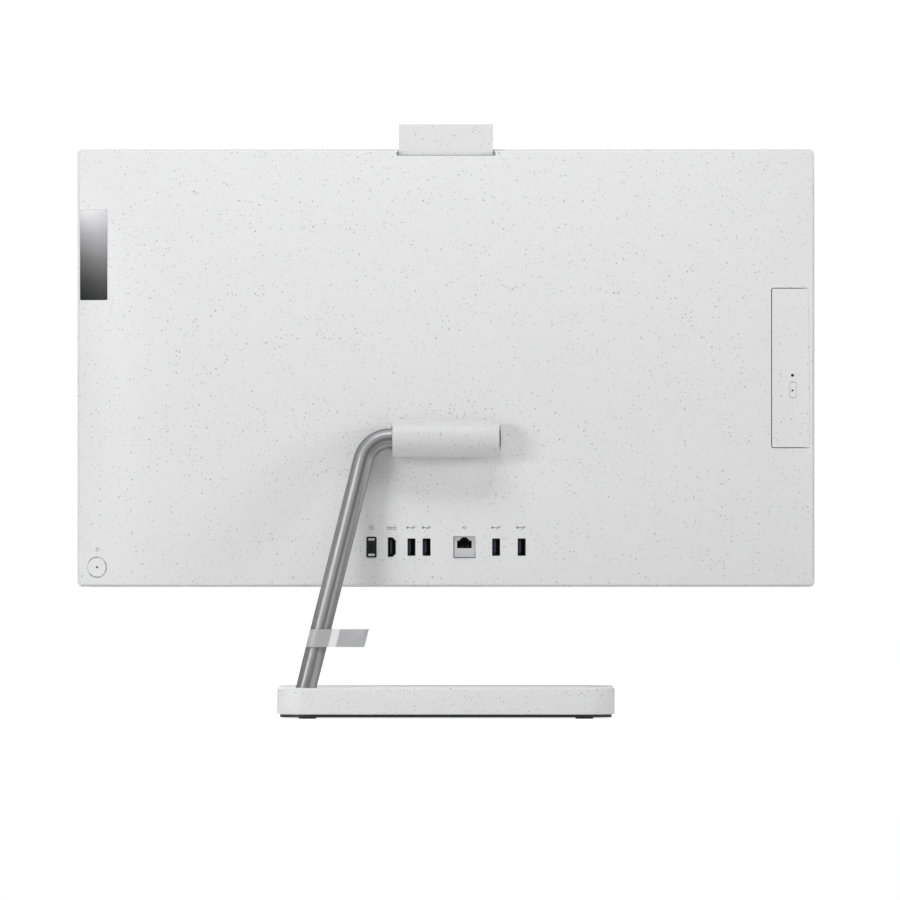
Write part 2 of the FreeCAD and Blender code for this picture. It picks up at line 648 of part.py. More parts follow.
def make_cover():
    outer = domed_block("cover_outer", number("cover_inset"), 0, number("rim_y"), number("cover_rim_fillet"))
    inside = domed_block("cover_inside", number("cover_inset") + number("cover_wall"), number("cover_wall"),
                         number("rim_y") - 5)
    bezel_top = "drive_centre + bezel_height / 2"
    bezel_low = "drive_centre - bezel_height / 2"
    disc_mouth = block("disc_mouth", ("-body_width", "bezel_inner_x + seam"), ("bezel_floor", "60"),
                       (f"{bezel_low} - seam", f"{bezel_top} + seam"))
    disc_mouth = rounded("disc_mouth_round", disc_mouth, "y", 2.2, lambda point: point.x > -400)
    notch = block("camera_notch", ("-camera_width / 2 - camera_gap", "camera_width / 2 + camera_gap"),
                  ("chassis_y", "60"), ("body_top - notch_depth", "body_top + 10"))
    port_holes = [display_prism("hole_display_socket", "port_gap / 2", "45", "40")]
    for name, (x, wide, tall) in PORTS.items():
        if name == "display_socket":
            continue
        hole = block_at(f"hole_{name}", (x, "25", "port_row"), (f"{wide} + port_gap", "40", f"{tall} + port_gap"))
        corner = 1.5 if name == "power_socket" else 0.5
        port_holes.append(rounded(f"hole_{name}_round", hole, "y", corner))
    recess = rod("barrel_recess", "barrel_radius + 0.5", ("-barrel_length / 2 - 1", "hinge_y", "hinge_height"),
                 "barrel_length + 2", "x")
    neck_slot = block("neck_slot", ("-neck_width / 2 - 0.5", "neck_width / 2 + 0.5"), ("0", "60"),
                      ("hinge_height - neck_height / 2 - 0.5", "hinge_height + neck_height / 2 + 0.5"))
    button_hole = doc.addObject("Part::Cylinder", "power_button_hole")
    button_hole.setExpression("Radius", linked("power_radius + power_gap"))
    button_hole.Height = 24
    button_hole.Placement = power_place(-12)
    row_start = "-(vent_count * vent_pitch) / 2"
    low_vents = slot_row("low_vents", "XY_Plane", "body_bottom - 5", row_start, "-4", "-4 + vent_depth", "14")
    top_vents = slot_row("top_vents", "XY_Plane", "body_top - 12", "blower_left - 60", "rim_y + 3", "rim_y + 3 + vent_depth * 0.6", "20")
    badge_bed = common("badge_bed", block("badge_bed_box", ("badge_left - 0.1", "badge_left + badge_width + 0.1"),
                                          ("-40", "40"), ("badge_bottom - 0.1", "badge_bottom + badge_height + 0.1")),
                       domed_block("badge_shell", number("cover_inset") + 0.4, -5, number("rim_y")))
    bed_floor = domed_block("badge_floor", number("cover_inset"), number("badge_thickness"), number("rim_y"))
    badge_bed = cut("badge_bed_cut", badge_bed, bed_floor)
    cover = cut("rear_cover", outer, inside, disc_mouth, notch, recess, neck_slot, button_hole, low_vents,
                top_vents, badge_bed, *port_holes)
    keep(cover)

    badge_box = block("badge_box", ("badge_left", "badge_left + badge_width"), ("-40", "40"),
                      ("badge_bottom", "badge_bottom + badge_height"))
    badge_box = rounded("badge_box_round", badge_box, "y", 1.5)
    keep(cut("badge_plate", common("badge_slice", outer, badge_box), bed_floor))
    return outer


def power_place(depth):
    """A place on the power button's axis, that far outside the cover's face."""
    x = number("power_x")
    z = number("power_z")
    turn = surface_turn(x, z)
    spot = Vector(x, rear_face_y(x, z), z) + turn.multVec(Vector(0, depth, 0))
    return FreeCAD.Placement(spot, turn * FreeCAD.Rotation(Vector(1, 0, 0), -90))


def eject_place(depth):
    """The same for the eject button on the disc bezel; its local Z is the outward normal."""
    x = -number("eject_x")
    z = number("drive_centre") - number("eject_below")
    turn = surface_turn(x, z)
    spot = Vector(x, rear_face_y(x, z), z) + turn.multVec(Vector(0, depth, 0))
    return FreeCAD.Placement(spot, turn * FreeCAD.Rotation(Vector(1, 0, 0), -90))


def make_front():
    """Frame with the glass recess, the panel opening and a chin with slots for the speakers."""
    frame = new_body("front_frame")
    face = new_sketch(frame, "frame_outline", "XZ_Plane", "-rim_y")
    rectangle(face, ("-body_width / 2", "body_width / 2"), ("body_bottom", "body_top"))
    pad(frame, "frame_pad", face, "frame_depth")
    fillet(frame, "frame_corners", "frame_corner", deep)
    front = number("front_y")
    fillet(frame, "frame_soft_edge", "0.8", lambda edge: abs(edge.BoundBox.YMax - front) < 0.01)
    opening = new_sketch(frame, "panel_opening", "XZ_Plane", "-rim_y")
    rectangle(opening, ("-glass_width / 2 + ledge", "glass_width / 2 - ledge"),
              ("glass_bottom + ledge", "body_top - frame_border - ledge"))
    pocket(frame, "panel_pocket", opening, "frame_depth", True)
    recess = new_sketch(frame, "glass_recess", "XZ_Plane", "-front_y - glass_thickness")
    rectangle(recess, ("-glass_width / 2 - glass_gap", "glass_width / 2 + glass_gap"),
              ("glass_bottom - glass_gap", "body_top - frame_border + glass_gap"))
    pocket(frame, "glass_pocket", recess, "glass_thickness", True)
    for side, start in (("left", "-speaker_left - speaker_slots * slot_pitch"), ("right", "speaker_left")):
        slots = new_sketch(frame, f"{side}_slot", "XZ_Plane", "-rim_y")
        rectangle(slots, (start, f"{start} + slot_width"),
                  ("body_bottom + chin / 2 - slot_height / 2", "body_bottom + chin / 2 + slot_height / 2"))
        first = pocket(frame, f"{side}_slot_pocket", slots, "frame_depth + 1", True)
        row_pattern(frame, f"{side}_slots", first, slots, "speaker_slots", "slot_pitch")

    glass = block("front_glass", ("-glass_width / 2", "glass_width / 2"), ("front_y", "cell_y"),
                  ("glass_bottom", "glass_bottom + glass_height"))
    span = ("-glass_width / 2 + ledge + 0.5", "glass_width / 2 - ledge - 0.5")
    rise = ("glass_bottom + ledge + 0.5", "glass_bottom + glass_height - ledge - 0.5")
    cell = block("lcd_panel", span, ("cell_y", "backlight_y"), rise)
    light = block("backlight_blank", span, ("backlight_y", "chassis_y"), rise)

    plate = new_body("chassis_blank")
    sheet_face = new_sketch(plate, "chassis_outline", "XZ_Plane", "-inside_y")
    rectangle(sheet_face, ("-body_width / 2 + chassis_side", "body_width / 2 - chassis_side"),
              ("body_bottom + chassis_end", "body_top - chassis_end"))
    pad(plate, "chassis_pad", sheet_face, "chassis_thickness")
    window = new_sketch(plate, "chassis_window", "XZ_Plane", "-inside_y")
    rectangle(window, ("-speaker_left + 8", "-speaker_left + 20"), ("body_bottom + 40", "body_bottom + 100"))
    first = pocket(plate, "chassis_window_pocket", window, "chassis_thickness", True)
    row_pattern(plate, "chassis_windows", first, window, "5", "22")

    side = "body_width / 2 - panel_screw_side"
    spots_x = (f"-({side})", "-body_width / 6", "body_width / 6", side)
    spots_z = ("body_bottom + panel_screw_low", "body_top - panel_screw_end")
    heads = [(x, "inside_y + 1.6", z) for x in spots_x for z in spots_z]
    panel_screws = screws("panel_screws", heads, "1.6", "5", "-y")
    holes = screws("panel_screw_holes", heads, "1.6", "5.5", "-y", "running_gap")
    chassis = cut("chassis_plate", plate, holes)
    light = cut("backlight_unit", light, holes)
    keep(frame, glass, cell, light, chassis, panel_screws)


# ---------------------------------------------------------------- tilt hinge
def make_hinge(core_start):
    barrel = new_body("hinge_barrel")
    profile = new_sketch(barrel, "barrel_profile", "XY_Plane")
    half = "barrel_length / 2"
    outline(profile, [(f"-{half}", "bush_radius"), (f"-{half}", "barrel_radius"), (half, "barrel_radius"),
                      (half, "tube_radius + 0.4"), (f"{half} - barrel_wall", "tube_radius + 0.4"),
                      (f"{half} - barrel_wall", "bush_radius")])
    doc.recompute()
    turned = barrel.newObject("PartDesign::Revolution", "barrel_turned")
    turned.Profile = profile
    turned.ReferenceAxis = (profile, ["H_Axis"])
    turned.Angle = 360
    neck = new_sketch(barrel, "neck_outline", "XZ_Plane", "bush_radius + barrel_wall / 2")
    rectangle(neck, ("-neck_width / 2", "neck_width / 2"), ("-neck_height / 2", "neck_height / 2"))
    pad(barrel, "neck_pad", neck, "hinge_back + 8 - bush_radius - barrel_wall / 2 + 3")
    fillet(barrel, "barrel_ends", "0.6", lambda edge: isinstance(edge.Curve, Part.Circle)
           and abs(edge.Curve.Radius - number("barrel_radius")) < 0.01 and abs(abs(edge.CenterOfMass.x)
           - number("barrel_length") / 2) < 0.01)
    move_to(barrel, ("0", "hinge_y", "hinge_height"))
    neck_y = "hinge_y - hinge_back - 11"

    cap = rod("barrel_cap", "bush_radius - 0.05", ("-barrel_length / 2 + 0.2", "hinge_y", "hinge_height"), "barrel_wall", "x")
    bushes = []
    for side, start in (("inner", f"{core_start} + collar_length + 0.3"), ("outer", "barrel_length / 2 - barrel_wall - bush_length")):
        ring = rod(f"bush_{side}_blank", "bush_radius - 0.05", (start, "hinge_y", "hinge_height"), "bush_length", "x")
        hole = rod(f"bush_{side}_bore", "tube_radius + running_gap", (f"{start} - 1", "hinge_y", "hinge_height"),
                   "bush_length + 2", "x")
        bushes.append(cut(f"bush_{side}", ring, hole))
    bush_pair = group("hinge_bushes", *bushes)

    hat = new_body("hinge_bracket_blank")
    section = new_sketch(hat, "bracket_section", "XY_Plane", "hinge_height - bracket_height / 2")
    arm = "neck_width / 2 + 4"
    outline(section, [
        (f"-({arm}) - bracket_foot", "inside_y"), (f"-({arm}) + bracket_wall", "inside_y"),
        (f"-({arm}) + bracket_wall", f"{neck_y} - bracket_wall"), (f"{arm} - bracket_wall", f"{neck_y} - bracket_wall"),
        (f"{arm} - bracket_wall", "inside_y"), (f"{arm} + bracket_foot", "inside_y"),
        (f"{arm} + bracket_foot", "inside_y + bracket_wall"), (arm, "inside_y + bracket_wall"),
        (arm, neck_y), (f"-({arm})", neck_y), (f"-({arm})", "inside_y + bracket_wall"),
        (f"-({arm}) - bracket_foot", "inside_y + bracket_wall")])
    pad(hat, "bracket_pad", section, "bracket_height")
    neck_heads = [(x, f"{neck_y} - bracket_wall - 2", "hinge_height") for x in ("-neck_width / 3", "0", "neck_width / 3")]
    foot_heads = [(f"{s} * ({arm} + bracket_foot / 2 + 1)", "inside_y + bracket_wall + 2", f"hinge_height + {t} * bracket_height / 3")
                  for s in (-1, 1) for t in (-1, 1)]
    into_neck = screws("neck_screws", neck_heads, "2", "bracket_wall + 7", "y")
    into_chassis = screws("foot_screws", foot_heads, "2", "bracket_wall + chassis_thickness", "-y")
    hinge_screws = group("hinge_screws", into_neck, into_chassis)
    neck_holes = screws("neck_screw_holes", neck_heads, "2", "bracket_wall + 7.5", "y", "running_gap")
    foot_holes = screws("foot_screw_holes", foot_heads, "2", "bracket_wall + chassis_thickness + 0.5", "-y", "running_gap")
    bracket = cut("hinge_bracket", hat, neck_holes, foot_holes)
    drilled = cut("hinge_barrel_drilled", barrel, neck_holes)
    barrel.Label = "hinge_barrel_undrilled"
    drilled.Label = "hinge_barrel"
    chassis = cut("chassis_plate_drilled", doc.getObject("chassis_plate"), foot_holes)
    doc.getObject("chassis_plate").Label = "chassis_plate_undrilled"
    chassis.Label = "chassis_plate"
    nodes.remove(doc.getObject("chassis_plate"))
    keep(drilled, cap, bush_pair, bracket, hinge_screws, chassis)


# ---------------------------------------------------------------- camera that rises from the top edge
def make_camera():
    half = "camera_width / 2"
    span_y = ("camera_y", "camera_y + camera_thickness")
    span_z = ("camera_top - camera_height", "camera_top")
    blank = rounded("camera_blank_round", block("camera_blank", (f"-{half}", half), span_y, span_z), "x", 0.8,
                    lambda point: point.z > number("camera_top") - 1)
    hollow = block("camera_hollow", (f"-{half} + camera_wall", f"{half} - camera_wall"),
                   ("camera_y + camera_wall", "camera_y + camera_thickness - camera_wall"),
                   ("camera_top - camera_height - 1", "camera_top - camera_wall"))
    sight = rod("camera_sight", "lens_radius + 0.1", ("0", "camera_y - 1", "camera_top - 10"), "camera_wall + 2", "y")
    shell = cut("camera_housing", blank, hollow, sight)
    lens = fuse("camera_lens",
                rod("lens_barrel", "lens_radius", ("0", "camera_y + 0.5", "camera_top - 10"),
                    "camera_thickness - camera_wall - 1.5", "y"),
                block_at("lens_board", ("0", "camera_y + camera_thickness - camera_wall - 0.5", "camera_top - 11"),
                         ("52", "1", "12")))
    window = rod("camera_window", "lens_radius", ("0", "camera_y + 0.1", "camera_top - 10"), "0.4", "y")
    rails = []
    for sign in (-1, 1):
        rail = block(f"guide_{sign + 1}", (f"{sign} * ({half} + 0.3) - (1 - {sign}) * 1.5", f"{sign} * ({half} + 0.3) + (1 + {sign}) * 1.5"),
                     ("inside_y", "camera_y + camera_thickness - 1"), ("body_top - 75", "body_top - 8"))
        rails.append(rail)
    keep(shell, lens, window, group("camera_guides", *rails))


# ---------------------------------------------------------------- disc drive
def make_drive(outer):
    top = "drive_centre + bezel_height / 2"
    low = "drive_centre - bezel_height / 2"
    lip = "cover_wall"
    bezel_box = block("bezel_box", ("-body_width", "bezel_inner_x"), ("bezel_floor + 0.2", "60"), (low, top))
    bezel_box = rounded("bezel_box_round", bezel_box, "y", 1.6, lambda point: point.x > -400)
    bezel_skin = common("bezel_skin", outer, bezel_box)
    inside = domed_block("bezel_inside", number("cover_inset") + number("cover_wall"), number("cover_wall"), -60)
    scoop = common("bezel_scoop", inside, block("scoop_box", ("-body_width", f"bezel_inner_x - {lip}"), ("-70", "60"),
                                                (f"{low} + {lip}", f"{top} - {lip}")))
    width = number("eject_width")
    height = number("eject_height")

    def eject_shape(grow, length, depth):
        """A rounded key standing on the bezel's slope, its outer end that far out."""
        key = Part.makeBox(width + 2 * grow, height + 2 * grow, length,
                           Vector(-width / 2 - grow, -height / 2 - grow, -length))
        key = key.makeFillet(1.6, [edge for edge in key.Edges if upright(edge)])
        key.Placement = eject_place(depth)
        return key

    key_hole = feature("eject_hole", eject_shape(0.35, 14, 5))
    pin_hole = doc.addObject("Part::Cylinder", "eject_pin_hole")
    pin_hole.Radius = 0.8
    pin_hole.Height = 20
    pin_turn = surface_turn(-number("eject_x"), number("drive_centre") - number("eject_hole_above"))
    pin_z = number("drive_centre") - number("eject_hole_above")
    pin_spot = Vector(-number("eject_x"), rear_face_y(-number("eject_x"), pin_z), pin_z)
    pin_hole.Placement = FreeCAD.Placement(pin_spot + pin_turn.multVec(Vector(0, -10, 0)),
                                           pin_turn * FreeCAD.Rotation(Vector(1, 0, 0), -90))
    bezel = cut("disc_bezel", bezel_skin, scoop, key_hole, pin_hole)
    eject = feature("eject_button", eject_shape(0, number("button_thickness"), 0.15))

    end_x = "bezel_inner_x + tray_length"
    half = "drive_height / 2 - 2.2"
    tray_blank = block("tray_blank", ("bezel_inner_x", end_x), ("tray_y", "tray_y + tray_thickness"),
                       (f"drive_centre - ({half})", f"drive_centre + ({half})"))
    centre_x = "bezel_inner_x + tray_length / 2"
    recess = rod("disc_recess", "disc_radius + 0.8", (centre_x, "tray_y + tray_thickness - disc_recess", "drive_centre"),
                 "disc_recess + 1", "y")
    well = rod("spindle_well", "hub_radius + 1", (centre_x, "tray_y - 1", "drive_centre"), "tray_thickness + 2", "y")
    sled_slot = block("sled_slot", (centre_x, f"{centre_x} + 52"), ("tray_y - 1", "tray_y + tray_thickness + 1"),
                      ("drive_centre - 9", "drive_centre + 9"))
    motor_cup = rod("motor_cup", "hub_radius + 3", (centre_x, "tray_y", "drive_centre"), "1", "y")
    motor_ring = rod("motor_seat", "hub_radius - 2 + 0.05", (centre_x, "tray_y - 1", "drive_centre"), "3", "y")
    floor = cut("motor_floor", motor_cup, motor_ring)
    tray = fuse("disc_tray", cut("tray_cut", tray_blank, recess, well, sled_slot), floor)
    motor = fuse("spindle_motor",
                 rod("motor_can", "hub_radius - 2", (centre_x, "tray_y - 0.5", "drive_centre"), "1.5", "y"),
                 rod("motor_pin", "1.5", (centre_x, "tray_y", "drive_centre"), "4.4", "y"))
    spindle = cut("disc_spindle",
                  fuse("spindle_blank",
                       rod("spindle_hub", "hub_radius", (centre_x, "tray_y + 1.3", "drive_centre"), "1.9", "y"),
                       rod("spindle_nose", "7.3", (centre_x, "tray_y + 1.3", "drive_centre"), "3.4", "y")),
                  rod("spindle_bore", "1.5 + running_gap", (centre_x, "tray_y", "drive_centre"), "6", "y"))
    rails = []
    for sign in (-1, 1):
        edge = f"drive_centre + {sign} * ({half} + 0.3)"
        rails.append(block(f"rail_{sign + 1}", ("bezel_inner_x + 4", f"{end_x} - 2"), ("tray_y + 0.5", "tray_y + 3.5"),
                           (f"{edge} - (1 - {sign}) * rail_thickness / 2", f"{edge} + (1 + {sign}) * rail_thickness / 2")))
    tray_rails = group("tray_rails", *rails)
    case = cut("disc_drive_case",
               block("drive_blank", ("bezel_inner_x + 3.5", f"{end_x} + 2"), ("inside_y", "inside_y + drive_thickness"),
                     ("drive_centre - drive_height / 2", "drive_centre + drive_height / 2")),
               block("drive_hollow", ("bezel_inner_x", f"{end_x} + 1"), ("inside_y + 0.8", "inside_y + drive_thickness - 0.8"),
                     ("drive_centre - drive_height / 2 + 0.6", "drive_centre + drive_height / 2 - 0.6")))
    keep(bezel, eject, tray, motor, spindle, tray_rails, case)


# ---------------------------------------------------------------- power button
def make_power_button():
    face = doc.addObject("Part::Cylinder", "power_cap")
    face.setExpression("Radius", linked("power_radius"))
    face.setExpression("Height", linked("button_thickness"))
    face.Placement = power_place(0.2 - number("button_thickness"))
    dimple = doc.addObject("Part::Sphere", "power_dimple")
    dimple.Radius = 1
    dimple.Placement = power_place(0.6)
    button = cut("power_button", face, dimple)
    post = doc.addObject("Part::Cylinder", "switch_plunger")
    post.Radius = 2
    post.Height = 1.4
    post.Placement = power_place(0.2 - number("button_thickness") - number("button_travel") - 0.3 - 1.4)
    board_box = block("switch_board", ("power_x - 14", "power_x + 6"), ("inside_y", "inside_y + 1.2"),
                      ("power_z - 8", "power_z + 8"))
    body = block("switch_body", ("power_x - 6", "power_x"), ("inside_y + 1.2", "inside_y + 3.4"), ("power_z - 3", "power_z + 3"))
    keep(button, fuse("power_switch_board", board_box, body, post))


# ---------------------------------------------------------------- mainboard, sockets, cooling, storage
def socket_shell(name):
    """The outside of one socket, standing on the mainboard."""
    x, wide, tall = PORTS[name]
    return block_at(f"{name}_shell", (x, "(board_face + port_y) / 2", "port_row"), (wide, "port_y - board_face", tall))


def make_board():
    board = new_body("mainboard_blank")
    face = new_sketch(board, "board_outline", "XZ_Plane", "-board_face")
    rectangle(face, ("board_left", "board_right"), ("board_bottom", "board_top"))
    pad(board, "board_pad", face, "board_thickness")
    spots = [(x, z) for x in ("board_left + 5", "board_right - 5") for z in ("board_bottom + 5", "board_top - 5")]
    posts = [rod(f"standoff_{i}", "3", (x, "inside_y", z), "board_y - inside_y", "y") for i, (x, z) in enumerate(spots)]
    heads = [(x, "board_face + 1.6", z) for x, z in spots]
    board_screws = screws("board_screws", heads, "1.6", "board_thickness + 5", "-y")
    holes = screws("board_screw_holes", heads, "1.6", "board_thickness + 5.5", "-y", "running_gap")
    posts = [cut(f"standoff_drilled_{i}", post, holes) for i, post in enumerate(posts)]
    keep(cut("mainboard", board, holes), group("board_standoffs", *posts), board_screws)

    usb = []
    for name, (x, wide, tall) in PORTS.items():
        if name.startswith("usb"):
            outer = socket_shell(name)
            cavity = block_at(f"{name}_cavity", (x, "port_y - 4", "port_row"), (f"{wide} - 1", "10", f"{tall} - 1"))
            tongue = block(f"{name}_tongue", (f"{x} + 0.2", f"{x} + 2"), ("board_face + 2", "port_y - 0.6"),
                           ("port_row - 5.6", "port_row + 5.6"))
            usb.append(fuse(f"{name}_socket", cut(f"{name}_hollow", outer, cavity), tongue))
    keep(group("usb_sockets", *usb))

    x = "network_socket_x"
    reach = ("port_y - plug_depth", "port_y + 1")
    plug_way = block("network_way", (f"{x} - 6.1", f"{x} + 6.1"), reach, ("port_row - 0.9", "port_row + 5.4"))
    step_way = block("network_step_way", (f"{x} - 3.8", f"{x} + 3.8"), reach, ("port_row + 5.3", "port_row + 6.9"))
    latch_way = block("network_latch_way", (f"{x} - 2.2", f"{x} + 2.2"), reach, ("port_row + 6.8", "port_row + 8.2"))
    keep(cut("network_socket", socket_shell("network_socket"), plug_way, step_way, latch_way))

    x = "power_socket_x"
    stem = block_at("power_slot", (x, "port_y - 4", "port_row"), ("2.6", "10", "9"))
    ends = [block_at(f"power_slot_{i}", (x, "port_y - 4", f"port_row + {s} * 4.5"), ("5.4", "10", "2.4"))
            for i, s in enumerate((-1, 1))]
    inlet = rounded("power_shell_round", socket_shell("power_socket"), "y", 1.3)
    keep(cut("power_socket", inlet, stem, *ends))

    x = "display_socket_x"
    shell = display_prism("display_shell", "0", "port_y", "port_y - board_face")
    cavity = display_prism("display_cavity", "-0.8", "port_y + 1", "10")
    tongue = block_at("display_tongue", (x, "port_y - 5.6", "port_row"), ("1.6", "10", "11"))
    keep(fuse("display_socket", cut("display_hollow", shell, cavity), tongue))

    processor = block_at("processor", ("cpu_x", "board_face + 1.5", "cpu_z"), ("37", "3", "37"))
    plate = block_at("cold_plate", ("cpu_x", "board_face + 4.2", "cpu_z"), ("46", "2.4", "46"))
    sockets = []
    modules = []
    for i in range(2):
        x0 = f"board_left + 14 + {i} * 36"
        sockets.append(block(f"memory_socket_{i}", (f"{x0} - 4", x0), ("board_face", "board_face + 5"),
                             ("board_top - 82 + 34", "board_top - 12")))
        modules.append(block(f"memory_module_{i}", (x0, f"{x0} + 28"), ("board_face + 3", "board_face + 4.2"),
                             ("board_top - 82 + 34", "board_top - 12")))
    keep(processor, plate, group("memory_sockets", *sockets), group("memory_modules", *modules))
    keep(block("wireless_card", ("board_left + 84", "board_left + 110"), ("board_face", "board_face + 2"),
               ("board_top - 36", "board_top - 6")))
    keep(rod("coin_cell", "10", ("board_left + 96", "board_face", "board_top - 50"), "3.2", "y"))


def make_cooling():
    left = "blower_left"
    right = "blower_left + blower_side"
    low = "blower_bottom"
    high = "blower_bottom + blower_side"
    centre = ("blower_left + blower_side / 2", "blower_bottom + blower_side / 2")
    back = "inside_y + blower_thickness"
    case = block("blower_case", (left, right), ("inside_y", back), (low, high))
    chamber = rod("blower_chamber", "fan_radius + 3", (centre[0], "inside_y + 1", centre[1]), "blower_thickness - 2", "y")
    outlet = block("blower_outlet", (f"{left} + 5", f"{right} - 5"), ("inside_y + 1", f"{back} - 1"), (centre[1], f"{high} + 1"))
    inlet = rod("blower_inlet", "fan_radius - 8", (centre[0], f"{back} - 2", centre[1]), "4", "y")
    pin = rod("fan_pin_rod", "fan_pin", (centre[0], "inside_y + 0.5", centre[1]), "blower_thickness - 2.5", "y")
    keep(fuse("blower_housing", cut("blower_shell", case, chamber, outlet, inlet), pin))

    fan = new_body("fan_impeller")
    blade = new_sketch(fan, "blade_outline", "XZ_Plane")
    outline(blade, [("9", "-0.5"), ("fan_radius", "5.5"), ("fan_radius", "6.5"), ("9", "0.7")])
    hub = new_sketch(fan, "hub_outline", "XZ_Plane")
    circle(hub, "0", "0", "10")
    circle(hub, "0", "0", "fan_pin + running_gap")
    pad(fan, "fan_hub", hub, "blower_thickness - 4", True)
    one = pad(fan, "fan_blade", blade, "blower_thickness - 5", True)
    ring_pattern(fan, "fan_blades", one, blade, 23)
    move_to(fan, (centre[0], "inside_y + 1.6", centre[1]))
    keep(fan)

    fins = new_body("cooling_fins")
    fin = new_sketch(fins, "fin_outline", "XY_Plane", f"{high} + 0.3")
    rectangle(fin, (f"{left} + 8", f"{left} + 8.5"), ("inside_y", "-6.6"))
    strip = new_sketch(fins, "fin_base", "XY_Plane", f"{high} + 0.3")
    rectangle(strip, (f"{left} + 8", f"{right} - 8"), ("inside_y", "inside_y + 0.8"))
    pad(fins, "fin_floor", strip, "13")
    lid = new_sketch(fins, "fin_lid", "XY_Plane", f"{high} + 0.3")
    rectangle(lid, (f"{left} + 8", f"{left} + 8 + 63.5"), ("-6.8", "-6.4"))
    one = pad(fins, "fin_first", fin, "13")
    row_pattern(fins, "fin_row", one, fin, "36", "1.8")
    pad(fins, "fin_lid_pad", lid, "13")
    keep(fins)

    radius = number("pipe_radius")
    near = number("board_face") + 5.4 + radius
    far = -6.4 + radius
    run_x = number("blower_left") - 8
    fin_z = number("blower_bottom") + number("blower_side") + 6.8
    stops = [Vector(number("cpu_x") - 18, near, number("cpu_z")), Vector(run_x, near, number("cpu_z")),
             Vector(run_x, near - 2, number("cpu_z") + 60), Vector(run_x, far, number("blower_bottom") - 20),
             Vector(run_x, far, fin_z), Vector(number("blower_left") + number("blower_side") - 10, far, fin_z)]
    keep(feature("heat_pipe", bent_rod(stops, radius, 14)))


def bent_rod(stops, radius, bend):
    """A round rod along straight runs joined by tangent arcs."""
    edges = []
    here = stops[0]
    for before, corner, after in zip(stops, stops[1:], stops[2:]):
        back = (before - corner).normalize()
        ahead = (after - corner).normalize()
        half = back.getAngle(ahead) / 2
        away = bend / math.tan(half)
        middle = (back + ahead).normalize() * (bend / math.sin(half) - bend)
        first = corner + back * away
        last = corner + ahead * away
        edges.append(Part.LineSegment(here, first).toShape())
        edges.append(Part.Arc(first, corner + middle, last).toShape())
        here = last
    edges.append(Part.LineSegment(here, stops[-1]).toShape())
    ring = Part.Wire([Part.Circle(stops[0], stops[1] - stops[0], radius).toShape()])
    return Part.Wire(edges).makePipeShell([ring], True, True)


def make_storage():
    bracket = block("storage_bracket", ("storage_left - 4", "storage_left + storage_width + 4"),
                    ("inside_y", "inside_y + 1"), ("storage_bottom - 4", "storage_bottom + storage_height + 4"))
    drive = block("storage_blank", ("storage_left", "storage_left + storage_width"),
                  ("inside_y + 1", "inside_y + 1 + storage_thickness"), ("storage_bottom", "storage_bottom + storage_height"))
    keep(bracket)
    drive = rounded("storage_drive", drive, "y", 2)
    keep(drive)
    boxes = []
    for sign in (-1, 1):
        x = (f"{sign} * (speaker_left + speaker_width / 2)")
        case = block_at(f"speaker_case_{sign + 1}", (x, "inside_y + speaker_depth / 2", "body_bottom + 7 + speaker_height / 2"),
                        ("speaker_width", "speaker_depth", "speaker_height"))
        cone = rod(f"speaker_mouth_{sign + 1}", "8", (x, "inside_y + speaker_depth - 2", "body_bottom + 7 + speaker_height / 2"), "4", "y")
        boxes.append(cut(f"speaker_{sign + 1}", case, cone))
    keep(group("speakers", *boxes))


# ---------------------------------------------------------------- build, check and write
make_base()
core_start = make_tube()
make_clip()
cover_outer = make_cover()
make_front()
make_hinge(core_start)
make_camera()
make_drive(cover_outer)
make_power_button()
make_board()
make_cooling()
make_storage()
doc.recompute()

faults = []
for item in doc.Objects:
    if "Invalid" in item.State or "Error" in item.State:
        faults.append(f"{item.Name} {item.State}")
for node in nodes:
    if node.Shape.isNull() or not node.Shape.isValid() or not node.Shape.Solids:
        faults.append(f"{node.Label} has a bad shape")
if faults:
    raise ValueError("; ".join(faults))

for node in nodes:
    node.Shape.exportStep(f"parts/{node.Label}.step")
    box = node.Shape.BoundBox
    print(f"{node.Label:20s} {len(node.Shape.Solids):3d} solids  x {box.XMin:.1f}..{box.XMax:.1f}"
          f"  y {box.YMin:.1f}..{box.YMax:.1f}  z {box.ZMin:.1f}..{box.ZMax:.1f}")
print(len(nodes), "sub-parts")
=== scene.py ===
# %% [markdown]
# # An all-in-one computer on a one-tube stand
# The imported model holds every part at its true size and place. This lesson dresses it: each piece that
# shows is given its finish, and the pieces whose curves or small details matter most are built again as
# smooth meshes that stand in for the plain ones.

# %% Load the frame
import math

import bmesh
import bpy
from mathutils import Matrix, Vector
from mathutils.bvhtree import BVHTree


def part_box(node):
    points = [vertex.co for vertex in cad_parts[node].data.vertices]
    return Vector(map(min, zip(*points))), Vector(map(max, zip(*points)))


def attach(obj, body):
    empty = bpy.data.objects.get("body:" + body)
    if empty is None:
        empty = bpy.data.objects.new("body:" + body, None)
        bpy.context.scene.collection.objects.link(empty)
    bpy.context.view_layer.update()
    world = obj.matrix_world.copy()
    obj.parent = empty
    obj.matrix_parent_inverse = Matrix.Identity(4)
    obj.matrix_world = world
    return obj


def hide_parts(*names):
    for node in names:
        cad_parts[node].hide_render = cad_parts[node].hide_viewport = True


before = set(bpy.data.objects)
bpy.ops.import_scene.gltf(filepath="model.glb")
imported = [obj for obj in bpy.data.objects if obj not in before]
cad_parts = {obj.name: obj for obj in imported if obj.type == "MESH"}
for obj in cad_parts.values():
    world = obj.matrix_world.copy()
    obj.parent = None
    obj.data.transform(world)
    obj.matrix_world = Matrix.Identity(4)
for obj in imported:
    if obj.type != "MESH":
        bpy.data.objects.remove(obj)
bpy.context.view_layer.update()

MM = 0.001

